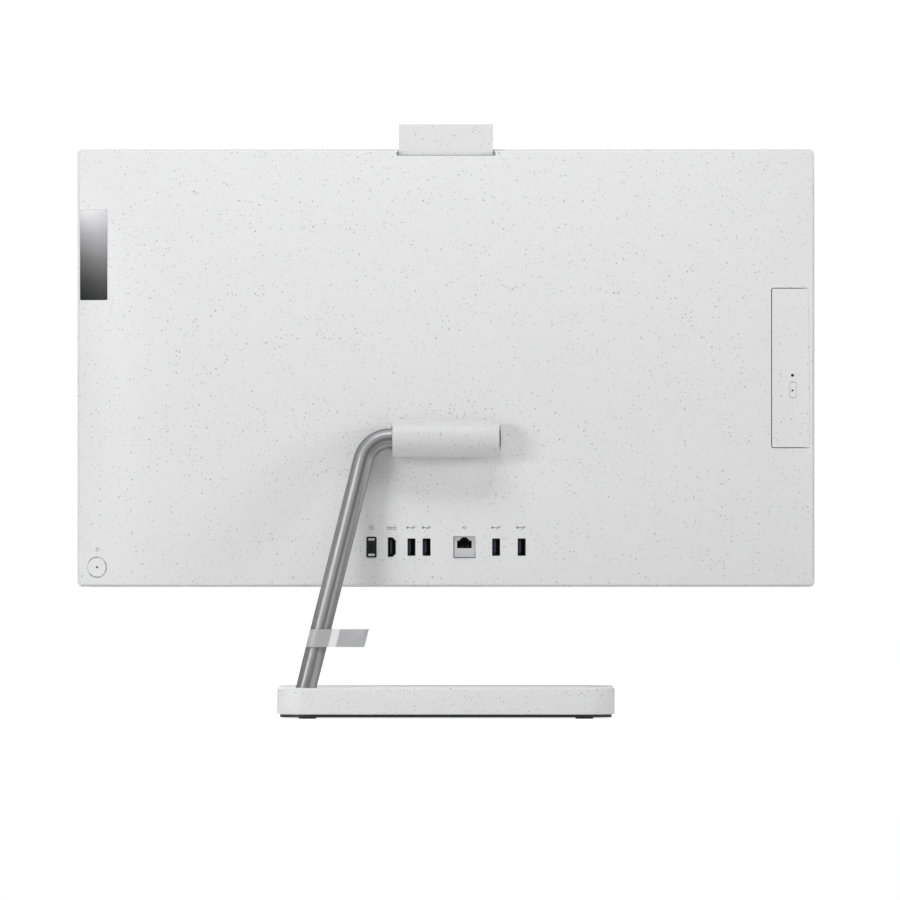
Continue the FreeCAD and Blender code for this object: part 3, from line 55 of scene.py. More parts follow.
# %% [markdown]
# ## Measuring the frame
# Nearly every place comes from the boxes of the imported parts, so a change of the design carries through.
# A ray shot at the domed cover tells where its skin lies under a printed mark. A search tree over the
# packed triangles answers such a ray at once, where a shrinkwrap would need an object and a modifier.

# %% Places
def middle(node):
    low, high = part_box(node)
    return (Vector(low) + Vector(high)) / 2


def skin_of(*nodes):
    """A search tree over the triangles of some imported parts."""
    points, faces = [], []
    for node in nodes:
        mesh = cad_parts[node].data
        start = len(points)
        points += [vertex.co.copy() for vertex in mesh.vertices]
        faces += [[start + i for i in polygon.vertices] for polygon in mesh.polygons]
    return BVHTree.FromPolygons(points, faces)


rear_skin = skin_of("rear_cover", "disc_bezel", "eject_button", "power_button", "badge_plate")


def on_skin(x, z):
    """The point and the outward normal of the rear skin at x, z, in metres."""
    point, normal, _, _ = rear_skin.ray_cast(Vector((x, 1.0, z)), Vector((0, -1, 0)))
    return point, normal


hinge = middle("barrel_cap")
print("hinge axis at y", round(hinge.y, 4), "z", round(hinge.z, 4))

# %% [markdown]
# ## Finishes
# A finish is a small node tree. The first helper makes the material and hands back its shader, and the
# others add nodes to it, so each finish reads as a short recipe: where the pattern lives, what it paints,
# what it dulls and what relief it gives. Patterns made by nodes stay sharp from close by and need no
# unwrapping, where an image texture would blur.

# %% Material helpers
def finish(name, color, rough, metal=0.0):
    material = bpy.data.materials.new(name)
    material.use_nodes = True
    shader = material.node_tree.nodes["Principled BSDF"]
    shader.inputs["Base Color"].default_value = (*color, 1)
    shader.inputs["Roughness"].default_value = rough
    shader.inputs["Metallic"].default_value = metal
    return material, shader


def new_node(tree, kind, settings, links):
    """Adds a node, sets its fields, and joins or sets its inputs.

    Underscores in an input's name stand for blanks, and i0, i1 and so on are inputs told by number."""
    made = tree.nodes.new(kind)
    for field, value in (settings or {}).items():
        setattr(made, field, value)
    for word, value in links.items():
        word = word.replace("_", " ")
        socket = made.inputs[int(word[1:])] if word[1:].isdigit() else made.inputs[word]
        if isinstance(value, bpy.types.NodeSocket):
            tree.links.new(value, socket)
        else:
            socket.default_value = value
    return made


def node(material, kind, settings=None, **links):
    return new_node(material.node_tree, kind, settings, links)


def join(material, output, socket):
    material.node_tree.links.new(output, socket)


def place(material, stretch=(1, 1, 1)):
    """Object coordinates, stretched where a grain runs one way."""
    source = node(material, "ShaderNodeTexCoord")
    scaled = node(material, "ShaderNodeMapping", Vector=source.outputs["Object"])
    scaled.inputs["Scale"].default_value = stretch
    return scaled.outputs["Vector"]


def grain(material, where, per_metre, detail=3.0):
    made = node(material, "ShaderNodeTexNoise", Vector=where, Scale=per_metre, Detail=detail)
    return made.outputs["Fac"]


def between(material, value, low, high, low_out=0.0, high_out=1.0):
    made = node(material, "ShaderNodeMapRange", Value=value, From_Min=low, From_Max=high)
    made.inputs["To Min"].default_value = low_out
    made.inputs["To Max"].default_value = high_out
    return made.outputs["Result"]


def sums(material, how, first, second):
    made = node(material, "ShaderNodeMath", {"operation": how}, i0=first, i1=second)
    return made.outputs["Value"]


def blend_color(material, amount, first, second):
    made = node(material, "ShaderNodeMix", {"data_type": "RGBA"})
    for socket, value in ((made.inputs[0], amount), (made.inputs[6], first), (made.inputs[7], second)):
        if isinstance(value, bpy.types.NodeSocket):
            join(material, value, socket)
        else:
            socket.default_value = value if isinstance(value, float) else (*value, 1)
    return made.outputs[2]


def paint(material, shader, color):
    join(material, color, shader.inputs["Base Color"])


def dull(material, shader, pattern, low, high):
    """Lets a pattern move the roughness between two values."""
    join(material, between(material, pattern, 0.3, 0.7, low, high), shader.inputs["Roughness"])


def emboss(material, shader, height, strength, depth):
    """Lets a pattern tilt the light on the surface, as if it had that relief."""
    made = node(material, "ShaderNodeBump", Height=height, Strength=strength, Distance=depth)
    join(material, made.outputs["Normal"], shader.inputs["Normal"])


# %% [markdown]
# ### Speckled shell plastic
# The casing is moulded from white plastic with coarse grey flecks in it, like recycled stone. Each fleck is
# a Voronoi cell cut down to a blot: the cell's distance gives the blot and the cell's random colour says
# whether this cell holds one and how dark it is. A little noise bends the cells, so no blot is round. A
# slower noise makes the two larger sorts lie in loose clumps, as the flecks of a real melt do.

# %% Speckled plastic
def flecks(material, where, cell, share, size):
    """Blots about cell metres apart; share says how many cells hold one, and may vary over the part."""
    made = node(material, "ShaderNodeTexVoronoi", Vector=where, Scale=1 / cell, Randomness=1.0)
    parts = node(material, "ShaderNodeSeparateColor", Color=made.outputs["Color"])
    reach = between(material, parts.outputs["Green"], 0.0, 1.0, size * 0.55, size)
    inside = between(material, sums(material, "SUBTRACT", made.outputs["Distance"], reach), 0.04, -0.04)
    present = sums(material, "LESS_THAN", parts.outputs["Red"], share)
    depth = between(material, parts.outputs["Blue"], 0.0, 1.0, 0.35, 1.0)
    return sums(material, "MULTIPLY", sums(material, "MULTIPLY", inside, present), depth)


def speckled_plastic(name, color):
    material, shader = finish(name, color, 0.46)
    where = place(material)
    bend = node(material, "ShaderNodeTexNoise", Vector=where, Scale=900.0, Detail=2.0)
    shift = node(material, "ShaderNodeVectorMath", {"operation": "SCALE"}, i0=bend.outputs["Color"],
                 Scale=1.2 * MM)
    bent = node(material, "ShaderNodeVectorMath", {"operation": "ADD"}, i0=where,
                i1=shift.outputs["Vector"]).outputs["Vector"]
    clump = grain(material, where, 62.0, 2.0)
    cloud = between(material, grain(material, where, 14.0), 0.3, 0.7, 0.0, 0.05)
    shown = blend_color(material, cloud, color, tuple(v * 0.95 for v in color))
    sorts = (  # cell, share of cells, size in the cell, strength, ink
        (1.5 * MM, 0.34, 0.26, 0.32, (0.42, 0.42, 0.43)),
        (2.3 * MM, between(material, clump, 0.32, 0.66, 0.15, 1.0), 0.21, 0.68, (0.27, 0.27, 0.28)),
        (3.7 * MM, between(material, clump, 0.32, 0.64, 0.08, 1.0), 0.18, 0.78, (0.17, 0.17, 0.18)),
    )
    for cell, share, size, strength, ink in sorts:
        blots = flecks(material, bent, cell, share, size)
        shown = blend_color(material, sums(material, "MULTIPLY", blots, strength), shown, ink)
    paint(material, shader, shown)
    dull(material, shader, grain(material, where, 2200.0), 0.40, 0.52)
    emboss(material, shader, grain(material, where, 3200.0, 4.0), 0.12, 0.05 * MM)
    return material


speckled = speckled_plastic("speckled_white", (0.80, 0.80, 0.805))
speckled_sleeve = speckled_plastic("speckled_sleeve", (0.69, 0.69, 0.695))

# %% [markdown]
# ### Metals
# Rolled sheet, turned bushes and cut fins differ in the direction of their scratches. Stretched noise makes
# the scratches: a high scale across the grain and a low one along it. One recipe with other numbers serves
# all of them, so they look like parts of one machine.

# %% Metals
def drawn_metal(name, color, rough, stretch, scratch=0.08, wear=0.06, metal=1.0):
    material, shader = finish(name, color, rough, metal)
    lines = grain(material, place(material, stretch), 1.0, 5.0)
    clouds = grain(material, place(material), 45.0, 3.0)
    dull(material, shader, lines, rough - wear, rough + wear)
    darker = tuple(v * 0.86 for v in color)
    paint(material, shader, blend_color(material, between(material, clouds, 0.35, 0.7), color, darker))
    emboss(material, shader, lines, scratch, 0.02 * MM)
    return material


steel = drawn_metal("plain_steel", (0.56, 0.56, 0.58), 0.34, (300, 300, 5000))
spring_steel = drawn_metal("socket_metal", (0.78, 0.78, 0.79), 0.42, (1500, 300, 300), 0.02, 0.03, 0.65)
bronze = drawn_metal("bush_bronze", (0.62, 0.42, 0.20), 0.36, (5000, 300, 300))
copper = drawn_metal("copper", (0.72, 0.38, 0.22), 0.30, (400, 400, 4000))
fin_metal = drawn_metal("fin_aluminium", (0.72, 0.72, 0.74), 0.33, (300, 300, 4000))
gold = drawn_metal("contact_gold", (0.86, 0.62, 0.24), 0.25, (600, 4000, 600))

# %% [markdown]
# ### Polished aluminium tube
# The tube was drawn through a die and polished, so its scratches run along it. Object coordinates would
# cut across the bend, so the mesh carries the distance round and along the tube as a UV map, and the
# scratches are stretched along that. A thin clear coat gives the sharp glint on top of the soft one. The
# light and dark bands in its colour are partly drawn grain and partly painted reflection.

# %% Tube metal
def tube_metal():
    material, shader = finish("polished_aluminium", (0.46, 0.46, 0.465), 0.50, 1.0)
    source = node(material, "ShaderNodeUVMap", {"uv_map": "tube_uv"})

    def along(around, down, detail):
        """Noise stretched along the tube: many lines round it, few changes down it."""
        scaled = node(material, "ShaderNodeMapping", Vector=source.outputs["UV"])
        scaled.inputs["Scale"].default_value = (around, down, 1)
        return grain(material, scaled.outputs["Vector"], 1.0, detail)

    fine, bands = along(160, 2.5, 4.0), along(17, 0.35, 1.0)
    dull(material, shader, fine, 0.50, 0.60)
    shader.inputs["Coat Weight"].default_value = 0.45
    shader.inputs["Coat Roughness"].default_value = 0.10
    # Light and dark colour bands round the tube: partly drawn grain, partly painted reflection.
    broad = sums(material, "MULTIPLY", bands, 0.7)
    grain_and_reflection_bands = sums(material, "ADD", broad, sums(material, "MULTIPLY", fine, 0.3))
    light_tone, dark_tone = (0.44, 0.44, 0.445), (0.21, 0.21, 0.215)
    amount = between(material, grain_and_reflection_bands, 0.38, 0.62)
    paint(material, shader, blend_color(material, amount, light_tone, dark_tone))
    soft = node(material, "ShaderNodeBump", Height=bands, Strength=0.5, Distance=0.35 * MM)
    sharp = node(material, "ShaderNodeBump", Height=fine, Strength=0.25, Distance=0.02 * MM,
                 Normal=soft.outputs["Normal"])
    join(material, sharp.outputs["Normal"], shader.inputs["Normal"])
    return material


bright_tube = tube_metal()

# %% [markdown]
# ### Plastics, rubber and glass
# Moulded black parts have a fine spark-eroded grain. Rubber is softer and duller. The clip is a milky clear
# plastic that lets some light through. The screen is smooth black glass with the faintest smear. Cells with
# smooth walls make the grain, and slow noise keeps the tone from being dead flat.

# %% Plastics, rubber, glass
def grained_plastic(name, color, rough, per_metre=2600.0, strength=0.25):
    material, shader = finish(name, color, rough)
    where = place(material)
    pebble = node(material, "ShaderNodeTexVoronoi", {"feature": "SMOOTH_F1"}, Vector=where, Scale=per_metre)
    dull(material, shader, grain(material, where, 300.0), rough - 0.07, rough + 0.07)
    tone = between(material, grain(material, where, 60.0), 0.3, 0.7)
    paler = tuple(v * 1.35 + 0.002 for v in color)
    paint(material, shader, blend_color(material, tone, color, paler))
    emboss(material, shader, pebble.outputs["Distance"], strength, 0.04 * MM)
    return material


black_plastic = grained_plastic("black_plastic", (0.018, 0.018, 0.019), 0.42)
rubber = grained_plastic("foot_rubber", (0.022, 0.022, 0.022), 0.78, 1800.0, 0.4)
# This grey ink serves for real print and for the painted shade at the camera notch and the power button's
# gap.
print_and_shade_ink = grained_plastic("grey_ink_and_painted_shade", (0.22, 0.22, 0.23), 0.6)
# The inlet's insert is painted pale: a painted reflection on its metal.
insert_painted_reflection = grained_plastic("pale_insert_painted_reflection", (0.72, 0.72, 0.72), 0.4)
violet_tongue = grained_plastic("tongue_plastic", (0.009, 0.010, 0.034), 0.42)
gap_dark = grained_plastic("gap_dark", (0.012, 0.012, 0.012), 0.8)


def milky_plastic(name, tone_high, tone_low, weight):
    material, shader = finish(name, tone_high, 0.30)
    where = place(material)
    dull(material, shader, grain(material, where, 120.0), 0.34, 0.46)
    tone = between(material, grain(material, where, 40.0), 0.3, 0.7)
    paint(material, shader, blend_color(material, tone, tone_high, tone_low))
    shader.inputs["Transmission Weight"].default_value = weight
    shader.inputs["IOR"].default_value = 1.46
    emboss(material, shader, grain(material, where, 700.0), 0.05, 0.05 * MM)
    return material


clip_plastic = milky_plastic("clear_clip", (0.76, 0.76, 0.765), (0.70, 0.70, 0.71), 0.50)
clip_rib_plastic = milky_plastic("clear_clip_rib", (0.93, 0.93, 0.93), (0.89, 0.89, 0.895), 0.15)


def smooth_glass(name, color, rough):
    material, shader = finish(name, color, rough)
    smear = grain(material, place(material, (9, 9, 3)), 1.0, 4.0)
    join(material, between(material, smear, 0.35, 0.75, rough, rough + 0.05), shader.inputs["Roughness"])
    tone = between(material, grain(material, place(material), 5.0), 0.3, 0.7)
    paint(material, shader, blend_color(material, tone, color, tuple(v * 1.3 for v in color)))
    shader.inputs["Coat Weight"].default_value = 0.6
    shader.inputs["Coat Roughness"].default_value = 0.03
    return material


screen_glass = smooth_glass("screen_glass", (0.010, 0.010, 0.012), 0.06)
lens_glass = smooth_glass("lens_glass", (0.006, 0.006, 0.012), 0.03)

# %% [markdown]
# ### Badge metal and circuit board
# The badge is a polished plate whose colour carries a painted reflection: a gradient along Z, measured from
# the plate's own box, runs from bright at its top to dark at its foot. The circuit boards get solder-mask
# green with a grid of fine tracks, for which a brick pattern is the quickest node.

# %% Badge and boards
def badge_painted_reflection_metal():
    material, shader = finish("bright_badge", (0.8, 0.8, 0.82), 0.42, 1.0)
    low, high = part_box("badge_plate")
    parts = node(material, "ShaderNodeSeparateXYZ", Vector=place(material))
    height = between(material, parts.outputs["Z"], low[2], high[2])
    brushed = grain(material, place(material, (300, 300, 4500)), 1.0, 4.0)
    # The colour ramp is a painted reflection: bright at the plate's top, dark at its foot.
    ramp = node(material, "ShaderNodeValToRGB", Fac=height)
    reflection_stops = ((0.0, 0.025), (0.2, 0.045), (0.45, 0.10), (0.72, 0.20), (1.0, 0.36))
    for index, (position, tone) in enumerate(reflection_stops):
        stop = ramp.color_ramp.elements[index] if index < 2 else ramp.color_ramp.elements.new(position)
        stop.position = position
        stop.color = (tone, tone, tone * 1.02, 1)
    paint(material, shader, ramp.outputs["Color"])
    dull(material, shader, brushed, 0.40, 0.47)
    emboss(material, shader, brushed, 0.02, 0.01 * MM)
    return material


def board_lacquer():
    material, shader = finish("circuit_board", (0.01, 0.09, 0.04), 0.35)
    where = place(material)
    track = node(material, "ShaderNodeTexBrick", Vector=where, Scale=160.0, Mortar_Size=0.02)
    track.inputs["Color1"].default_value = (0.008, 0.075, 0.035, 1)
    track.inputs["Color2"].default_value = (0.012, 0.10, 0.05, 1)
    track.inputs["Mortar"].default_value = (0.03, 0.17, 0.08, 1)
    paint(material, shader, track.outputs["Color"])
    dull(material, shader, grain(material, where, 200.0), 0.28, 0.42)
    emboss(material, shader, track.outputs["Fac"], 0.2, 0.03 * MM)
    return material


badge_reflection_finish = badge_painted_reflection_metal()
board_green = board_lacquer()
chip_black = grained_plastic("chip_black", (0.03, 0.03, 0.032), 0.5, 4000.0, 0.15)
print("finishes", len(bpy.data.materials))

# %% [markdown]
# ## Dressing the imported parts
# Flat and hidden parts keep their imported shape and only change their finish, because a mesh built again
# would look the same. A part that is rebuilt further on gets a finish here too.

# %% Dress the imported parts
DRESS = {
    "rear_cover": speckled, "front_frame": speckled, "camera_housing": speckled, "disc_bezel": speckled,
    "eject_button": speckled, "power_button": speckled, "barrel_cap": speckled, "base_cover": speckled,
    "hinge_barrel": speckled, "stand_tube": steel, "cable_clip": clip_plastic, "base_plate": black_plastic,
    "base_feet": rubber, "base_weight": steel, "tube_socket": steel, "tube_collar": steel,
    "hinge_bracket": steel, "chassis_plate": steel, "disc_drive_case": steel, "base_screws": steel,
    "socket_screws": steel, "hinge_screws": steel, "panel_screws": steel, "board_screws": steel,
    "storage_bracket": steel, "tray_rails": steel, "spindle_motor": steel, "board_standoffs": bronze,
    "usb_sockets": spring_steel, "network_socket": spring_steel, "display_socket": spring_steel,
    "power_socket": black_plastic, "wireless_card": spring_steel, "coin_cell": spring_steel,
    "hinge_bushes": bronze, "badge_plate": badge_reflection_finish, "front_glass": screen_glass,
    "camera_window": lens_glass, "lcd_panel": screen_glass, "backlight_unit": fin_metal,
    "storage_drive": fin_metal, "mainboard": board_green, "memory_modules": board_green,
    "power_switch_board": board_green, "processor": chip_black, "heat_pipe": copper, "cold_plate": copper,
    "cooling_fins": fin_metal, "speakers": black_plastic, "memory_sockets": black_plastic,
    "blower_housing": black_plastic, "fan_impeller": black_plastic, "camera_guides": black_plastic,
    "disc_tray": black_plastic, "disc_spindle": black_plastic, "camera_lens": black_plastic,
}
for name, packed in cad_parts.items():
    packed.data.materials.clear()
    packed.data.materials.append(DRESS[name])
print("dressed", len(DRESS), "packed parts")

# %% [markdown]
# ## From mesh to piece
# `build` turns a bmesh into a finished piece: normals out, smooth faces, a finish and a body to ride on.
# Edges stay sharp where two faces meet steeply, so rims read crisp and rounds read soft without any
# modifier that the baked model would have to carry.

# %% Piece helpers
def smooth_by_angle(mesh, degrees):
    """Smooth faces with sharp edges kept where two faces meet at a steep angle."""
    mesh.polygons.foreach_set("use_smooth", [True] * len(mesh.polygons))
    shape = bmesh.new()
    shape.from_mesh(mesh)
    limit = math.radians(degrees)
    for edge in shape.edges:
        edge.smooth = len(edge.link_faces) == 2 and edge.calc_face_angle(0) < limit
    shape.to_mesh(mesh)
    shape.free()


def piece(name, mesh, body, slot, *materials, replaces=(), sharp=32):
    """Makes a mesh a finished piece; a mesh that brings its own finish keeps it."""
    mesh.name = name
    if not mesh.materials:
        for material in materials:
            mesh.materials.append(material)
    smooth_by_angle(mesh, sharp)
    made = bpy.data.objects.new(name, mesh)
    bpy.context.scene.collection.objects.link(made)
    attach(made, body)
    if replaces:
        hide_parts(*replaces)
    print(f"{name}: {len(mesh.polygons)} faces on {body}")
    return made


def as_mesh(shape, name):
    """Writes a bmesh out as a mesh whose faces point outwards."""
    bmesh.ops.recalc_face_normals(shape, faces=shape.faces)
    mesh = bpy.data.meshes.new(name)
    shape.to_mesh(mesh)
    shape.free()
    return mesh


def build(shape, name, body, slot, *materials, replaces=(), weld=1e-6):
    bmesh.ops.remove_doubles(shape, verts=shape.verts, dist=weld)
    return piece(name, as_mesh(shape, name), body, slot, *materials, replaces=replaces)


# %% [markdown]
# ## Outlines and loops
# Most pieces here are moulded or folded, so they have the same outline at several depths. Each outline is a
# closed loop of points, and walls, caps and rings are bridges between loops. That gives even quads, which
# shade more cleanly than the triangles a cut would leave.

# %% Outline helpers
def rounded_outline(width, height, corner, steps=6):
    """Corner arcs of a rounded rectangle about the origin, anticlockwise."""
    points = []
    for quarter, (sx, sy) in enumerate(((1, 1), (-1, 1), (-1, -1), (1, -1))):
        cx = sx * (width / 2 - corner)
        cy = sy * (height / 2 - corner)
        for step in range(steps + 1):
            angle = math.pi / 2 * (quarter + step / steps)
            points.append((cx + corner * math.cos(angle), cy + corner * math.sin(angle)))
    return points


def loop(shape, points):
    return [shape.verts.new(point) for point in points]


def bridge(shape, first, second, slot=0):
    count = len(first)
    for i in range(count):
        face = shape.faces.new((first[i], first[(i + 1) % count], second[(i + 1) % count], second[i]))
        face.material_index = slot


def stack(shape, loops, slot=0, close_first=True):
    """Bridges a row of loops and caps its last end, and its first one too unless told not to."""
    for first, second in zip(loops, loops[1:]):
        bridge(shape, first, second, slot)
    if close_first:
        shape.faces.new(loops[0]).material_index = slot
    shape.faces.new(loops[-1]).material_index = slot


def at_y(points, x, z, y):
    """Places a flat outline in the X-Z plane at depth y, about a middle at x, z."""
    return [(x + right, y, z + up) for right, up in points]


# %% [markdown]
# ## Turned shapes
# Feet, screw heads, the barrel and its cap are round about an axis, so their profile is spun about it. A
# rounded rim is a short arc in the profile.

# %% Turning helpers
def turned(shape, profile, centre, axis, steps=96):
    """Revolves (along, radius) pairs about an axis through the centre; radius 0 closes an end."""
    axis = Vector(axis).normalized()
    side = axis.orthogonal().normalized()
    other = axis.cross(side)
    rings = []
    for along, radius in profile:
        if radius == 0:
            rings.append([shape.verts.new(centre + axis * along)])
            continue
        ring = []
        for step in range(steps):
            angle = math.tau * step / steps
            outwards = side * math.cos(angle) + other * math.sin(angle)
            ring.append(centre + axis * along + outwards * radius)
        rings.append(loop(shape, ring))
    for first, second in zip(rings, rings[1:]):
        for i in range(steps):
            j = (i + 1) % steps
            if len(first) == 1:
                shape.faces.new((first[0], second[j], second[i]))
            elif len(second) == 1:
                shape.faces.new((first[i], first[j], second[0]))
            else:
                shape.faces.new((first[i], first[j], second[j], second[i]))


def edge_arc(centre_along, centre_radius, radius, start, stop, steps=6):
    """Part of a round edge as (along, radius) pairs; angles in degrees."""
    out = []
    for step in range(steps + 1):
        angle = math.radians(start + (stop - start) * step / steps)
        out.append((centre_along + radius * math.cos(angle), centre_radius + radius * math.sin(angle)))
    return out


# %% [markdown]
# ## Geometry Nodes helpers
# What repeats or follows a path is made by a node tree. A tree is written once with named inputs, then used
# with different numbers. The result is turned into a plain mesh, because what leaves Blender can't hold
# live instances.

# %% Geometry Nodes helpers
SOCKETS = {float: "NodeSocketFloat", int: "NodeSocketInt", tuple: "NodeSocketVector"}


def plain_copy(host):
    """The mesh of an object after its modifiers, as a plain mesh of its own."""
    graph = bpy.context.evaluated_depsgraph_get()
    graph.update()
    return bpy.data.meshes.new_from_object(host.evaluated_get(graph), preserve_all_data_layers=True,
                                           depsgraph=graph)


class Tree:
    """A Geometry Nodes tree with named inputs."""

    def __init__(self, name, **inputs):
        self.group = bpy.data.node_groups.new(name, "GeometryNodeTree")
        face = self.group.interface
        face.new_socket(name="Geometry", in_out="INPUT", socket_type="NodeSocketGeometry")
        for word, value in inputs.items():
            if isinstance(value, bpy.types.ID):
                kind = "NodeSocketMaterial" if isinstance(value, bpy.types.Material) else "NodeSocketObject"
            else:
                kind = SOCKETS[type(value)]
            face.new_socket(name=word, in_out="INPUT", socket_type=kind)
        face.new_socket(name="Geometry", in_out="OUTPUT", socket_type="NodeSocketGeometry")
        self.source = self.group.nodes.new("NodeGroupInput")
        self.sink = self.group.nodes.new("NodeGroupOutput")
        self.values = inputs

    def given(self, word):
        return self.source.outputs[word]

    def add(self, kind, settings=None, **links):
        return new_node(self.group, kind, settings, links)

    def end(self, geometry, material):
        real = self.add("GeometryNodeRealizeInstances", Geometry=geometry)
        painted = self.add("GeometryNodeSetMaterial", Geometry=real.outputs[0],
                           Material=self.given(material))
        self.group.links.new(painted.outputs[0], self.sink.inputs[0])

    def mesh(self, name, base=None):
        """Runs the tree on a host mesh and returns the result as a plain mesh."""
        host = bpy.data.objects.new(name + "_host", base or bpy.data.meshes.new(name + "_host"))
        bpy.context.scene.collection.objects.link(host)
        modifier = host.modifiers.new("nodes", "NODES")
        modifier.node_group = self.group
        for item in self.group.interface.items_tree:
            if item.in_out == "INPUT" and item.name in self.values:
                modifier[item.identifier] = self.values[item.name]
        host.update_tag()
        plain = plain_copy(host)
        host.modifiers.clear()
        bpy.data.objects.remove(host)
        return plain


def points_mesh(name, points):
    mesh = bpy.data.meshes.new(name)
    mesh.from_pydata([tuple(point) for point in points], [], [])
    return mesh


# %% [markdown]
# ## The stand tube
# One tube is bent once: it leaves the hinge barrel level, turns down and leans into the base. Three points
# and one bend radius describe it, so a node tree fillets the three-point line and sweeps a circle along it.
# Distance round and along the tube is stored as the UV map that the polish reads.

# %% Stand tube
TUBE_RADIUS = 8.5 * MM
TUBE_BEND = 23 * MM
TUBE_REACH = 64.5 * MM  # from the middle plane to the corner of the bend
LEAN, RAKE = math.radians(13.94), math.radians(7)  # sideways, and towards the rear
TUBE_DOWN = Vector((math.sin(LEAN), math.cos(LEAN) * math.sin(RAKE), -math.cos(LEAN) * math.cos(RAKE)))


def on_tube(height):
    """The point of the straight run's centre line at one height."""
    return Vector((TUBE_REACH, hinge.y, hinge.z)) + TUBE_DOWN * ((height - hinge.z) / TUBE_DOWN.z)


def stand_tube():
    low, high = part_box("stand_tube")
    collar_low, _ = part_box("tube_collar")
    start = Vector((collar_low[0], hinge.y, hinge.z))
    top = Vector((TUBE_REACH, hinge.y, hinge.z))
    foot = on_tube(low[2] + 2.4 * MM)
    print("tube foot", [round(v, 4) for v in foot])
    tree = Tree("bent_tube", Start=tuple(start), Corner=tuple(top), Foot=tuple(foot), Bend=TUBE_BEND,
                Radius=TUBE_RADIUS, Sides=96, Steps=48, Metal=bright_tube)
    line = tree.add("GeometryNodeMeshLine", Count=3)
    index = tree.add("GeometryNodeInputIndex")
    choose = tree.add("GeometryNodeIndexSwitch", {"data_type": "VECTOR"})
    choose.index_switch_items.new()
    tree.group.links.new(index.outputs[0], choose.inputs["Index"])
    for slot, word in enumerate(("Start", "Corner", "Foot")):
        tree.group.links.new(tree.given(word), choose.inputs[slot + 1])
    placed = tree.add("GeometryNodeSetPosition", Geometry=line.outputs[0], Position=choose.outputs[0])
    path = tree.add("GeometryNodeMeshToCurve", Mesh=placed.outputs[0])
    bent = tree.add("GeometryNodeFilletCurve", {"mode": "POLY"}, Curve=path.outputs[0],
                    Radius=tree.given("Bend"), Count=tree.given("Steps"))
    along = tree.add("GeometryNodeSplineParameter")
    ring = tree.add("GeometryNodeCurvePrimitiveCircle", Resolution=tree.given("Sides"),
                    Radius=tree.given("Radius"))
    around = tree.add("GeometryNodeSplineParameter")
    on_points = {"data_type": "FLOAT", "domain": "POINT"}
    kept_along = tree.add("GeometryNodeStoreNamedAttribute", on_points, Geometry=bent.outputs[0],
                          Name="along", Value=along.outputs["Length"])
    kept_around = tree.add("GeometryNodeStoreNamedAttribute", on_points, Geometry=ring.outputs[0],
                           Name="around", Value=around.outputs["Factor"])
    swept = tree.add("GeometryNodeCurveToMesh", Curve=kept_along.outputs[0],
                     Profile_Curve=kept_around.outputs[0], Fill_Caps=True)
    tree.end(swept.outputs[0], "Metal")
    return tree.mesh("stand_tube_polished")


def tube_uv(mesh):
    """Turns the stored distances into the UV map; the last face round closes at 1 instead of 0."""
    layer = mesh.uv_layers.new(name="tube_uv")
    around, along = mesh.attributes["around"].data, mesh.attributes["along"].data
    for polygon in mesh.polygons:
        closing = any(around[mesh.loops[i].vertex_index].value > 0.9 for i in polygon.loop_indices)
        for i in polygon.loop_indices:
            vertex = mesh.loops[i].vertex_index
            turn = around[vertex].value
            layer.data[i].uv = (turn + 1 if closing and turn < 0.1 else turn, along[vertex].value * 10)


tube_mesh = stand_tube()
tube_uv(tube_mesh)
piece("stand_tube_polished", tube_mesh, "stand", "polished_aluminium", bright_tube,
      replaces=("stand_tube",), sharp=40)

# %% [markdown]
# ## The cable clip
# A moulded clip hugs the tube with a C and holds cables in a flat loop beside it. Both ends are cut level
# while its walls follow the leaning tube, so one flat outline is drawn at the lower end and again, shifted
# along the tube, at the upper end. The walls join the two, and the caps are filled between outline and
# hole. The one face next to the tube, where the wall is thick, gets a paler finish.

# %% Cable clip
def arc(centre, radius, start, stop, steps):
    """Points of an arc in the level plane; angles in degrees."""
    turns = [math.radians(start + (stop - start) * i / steps) for i in range(steps + 1)]
    return [(centre[0] + radius * math.cos(a), centre[1] + radius * math.sin(a)) for a in turns]


def leaning_arc(radius, start, stop, steps):
    """An arc about the tube, stretched as a level cut through a leaning round is."""
    way = Vector((TUBE_DOWN.x, TUBE_DOWN.y)).normalized()
    out = []
    for x, y in arc((0, 0), radius, start, stop, steps):
        extra = (x * way.x + y * way.y) * (1 / abs(TUBE_DOWN.z) - 1)
        out.append((x + way.x * extra, y + way.y * extra))
    return out


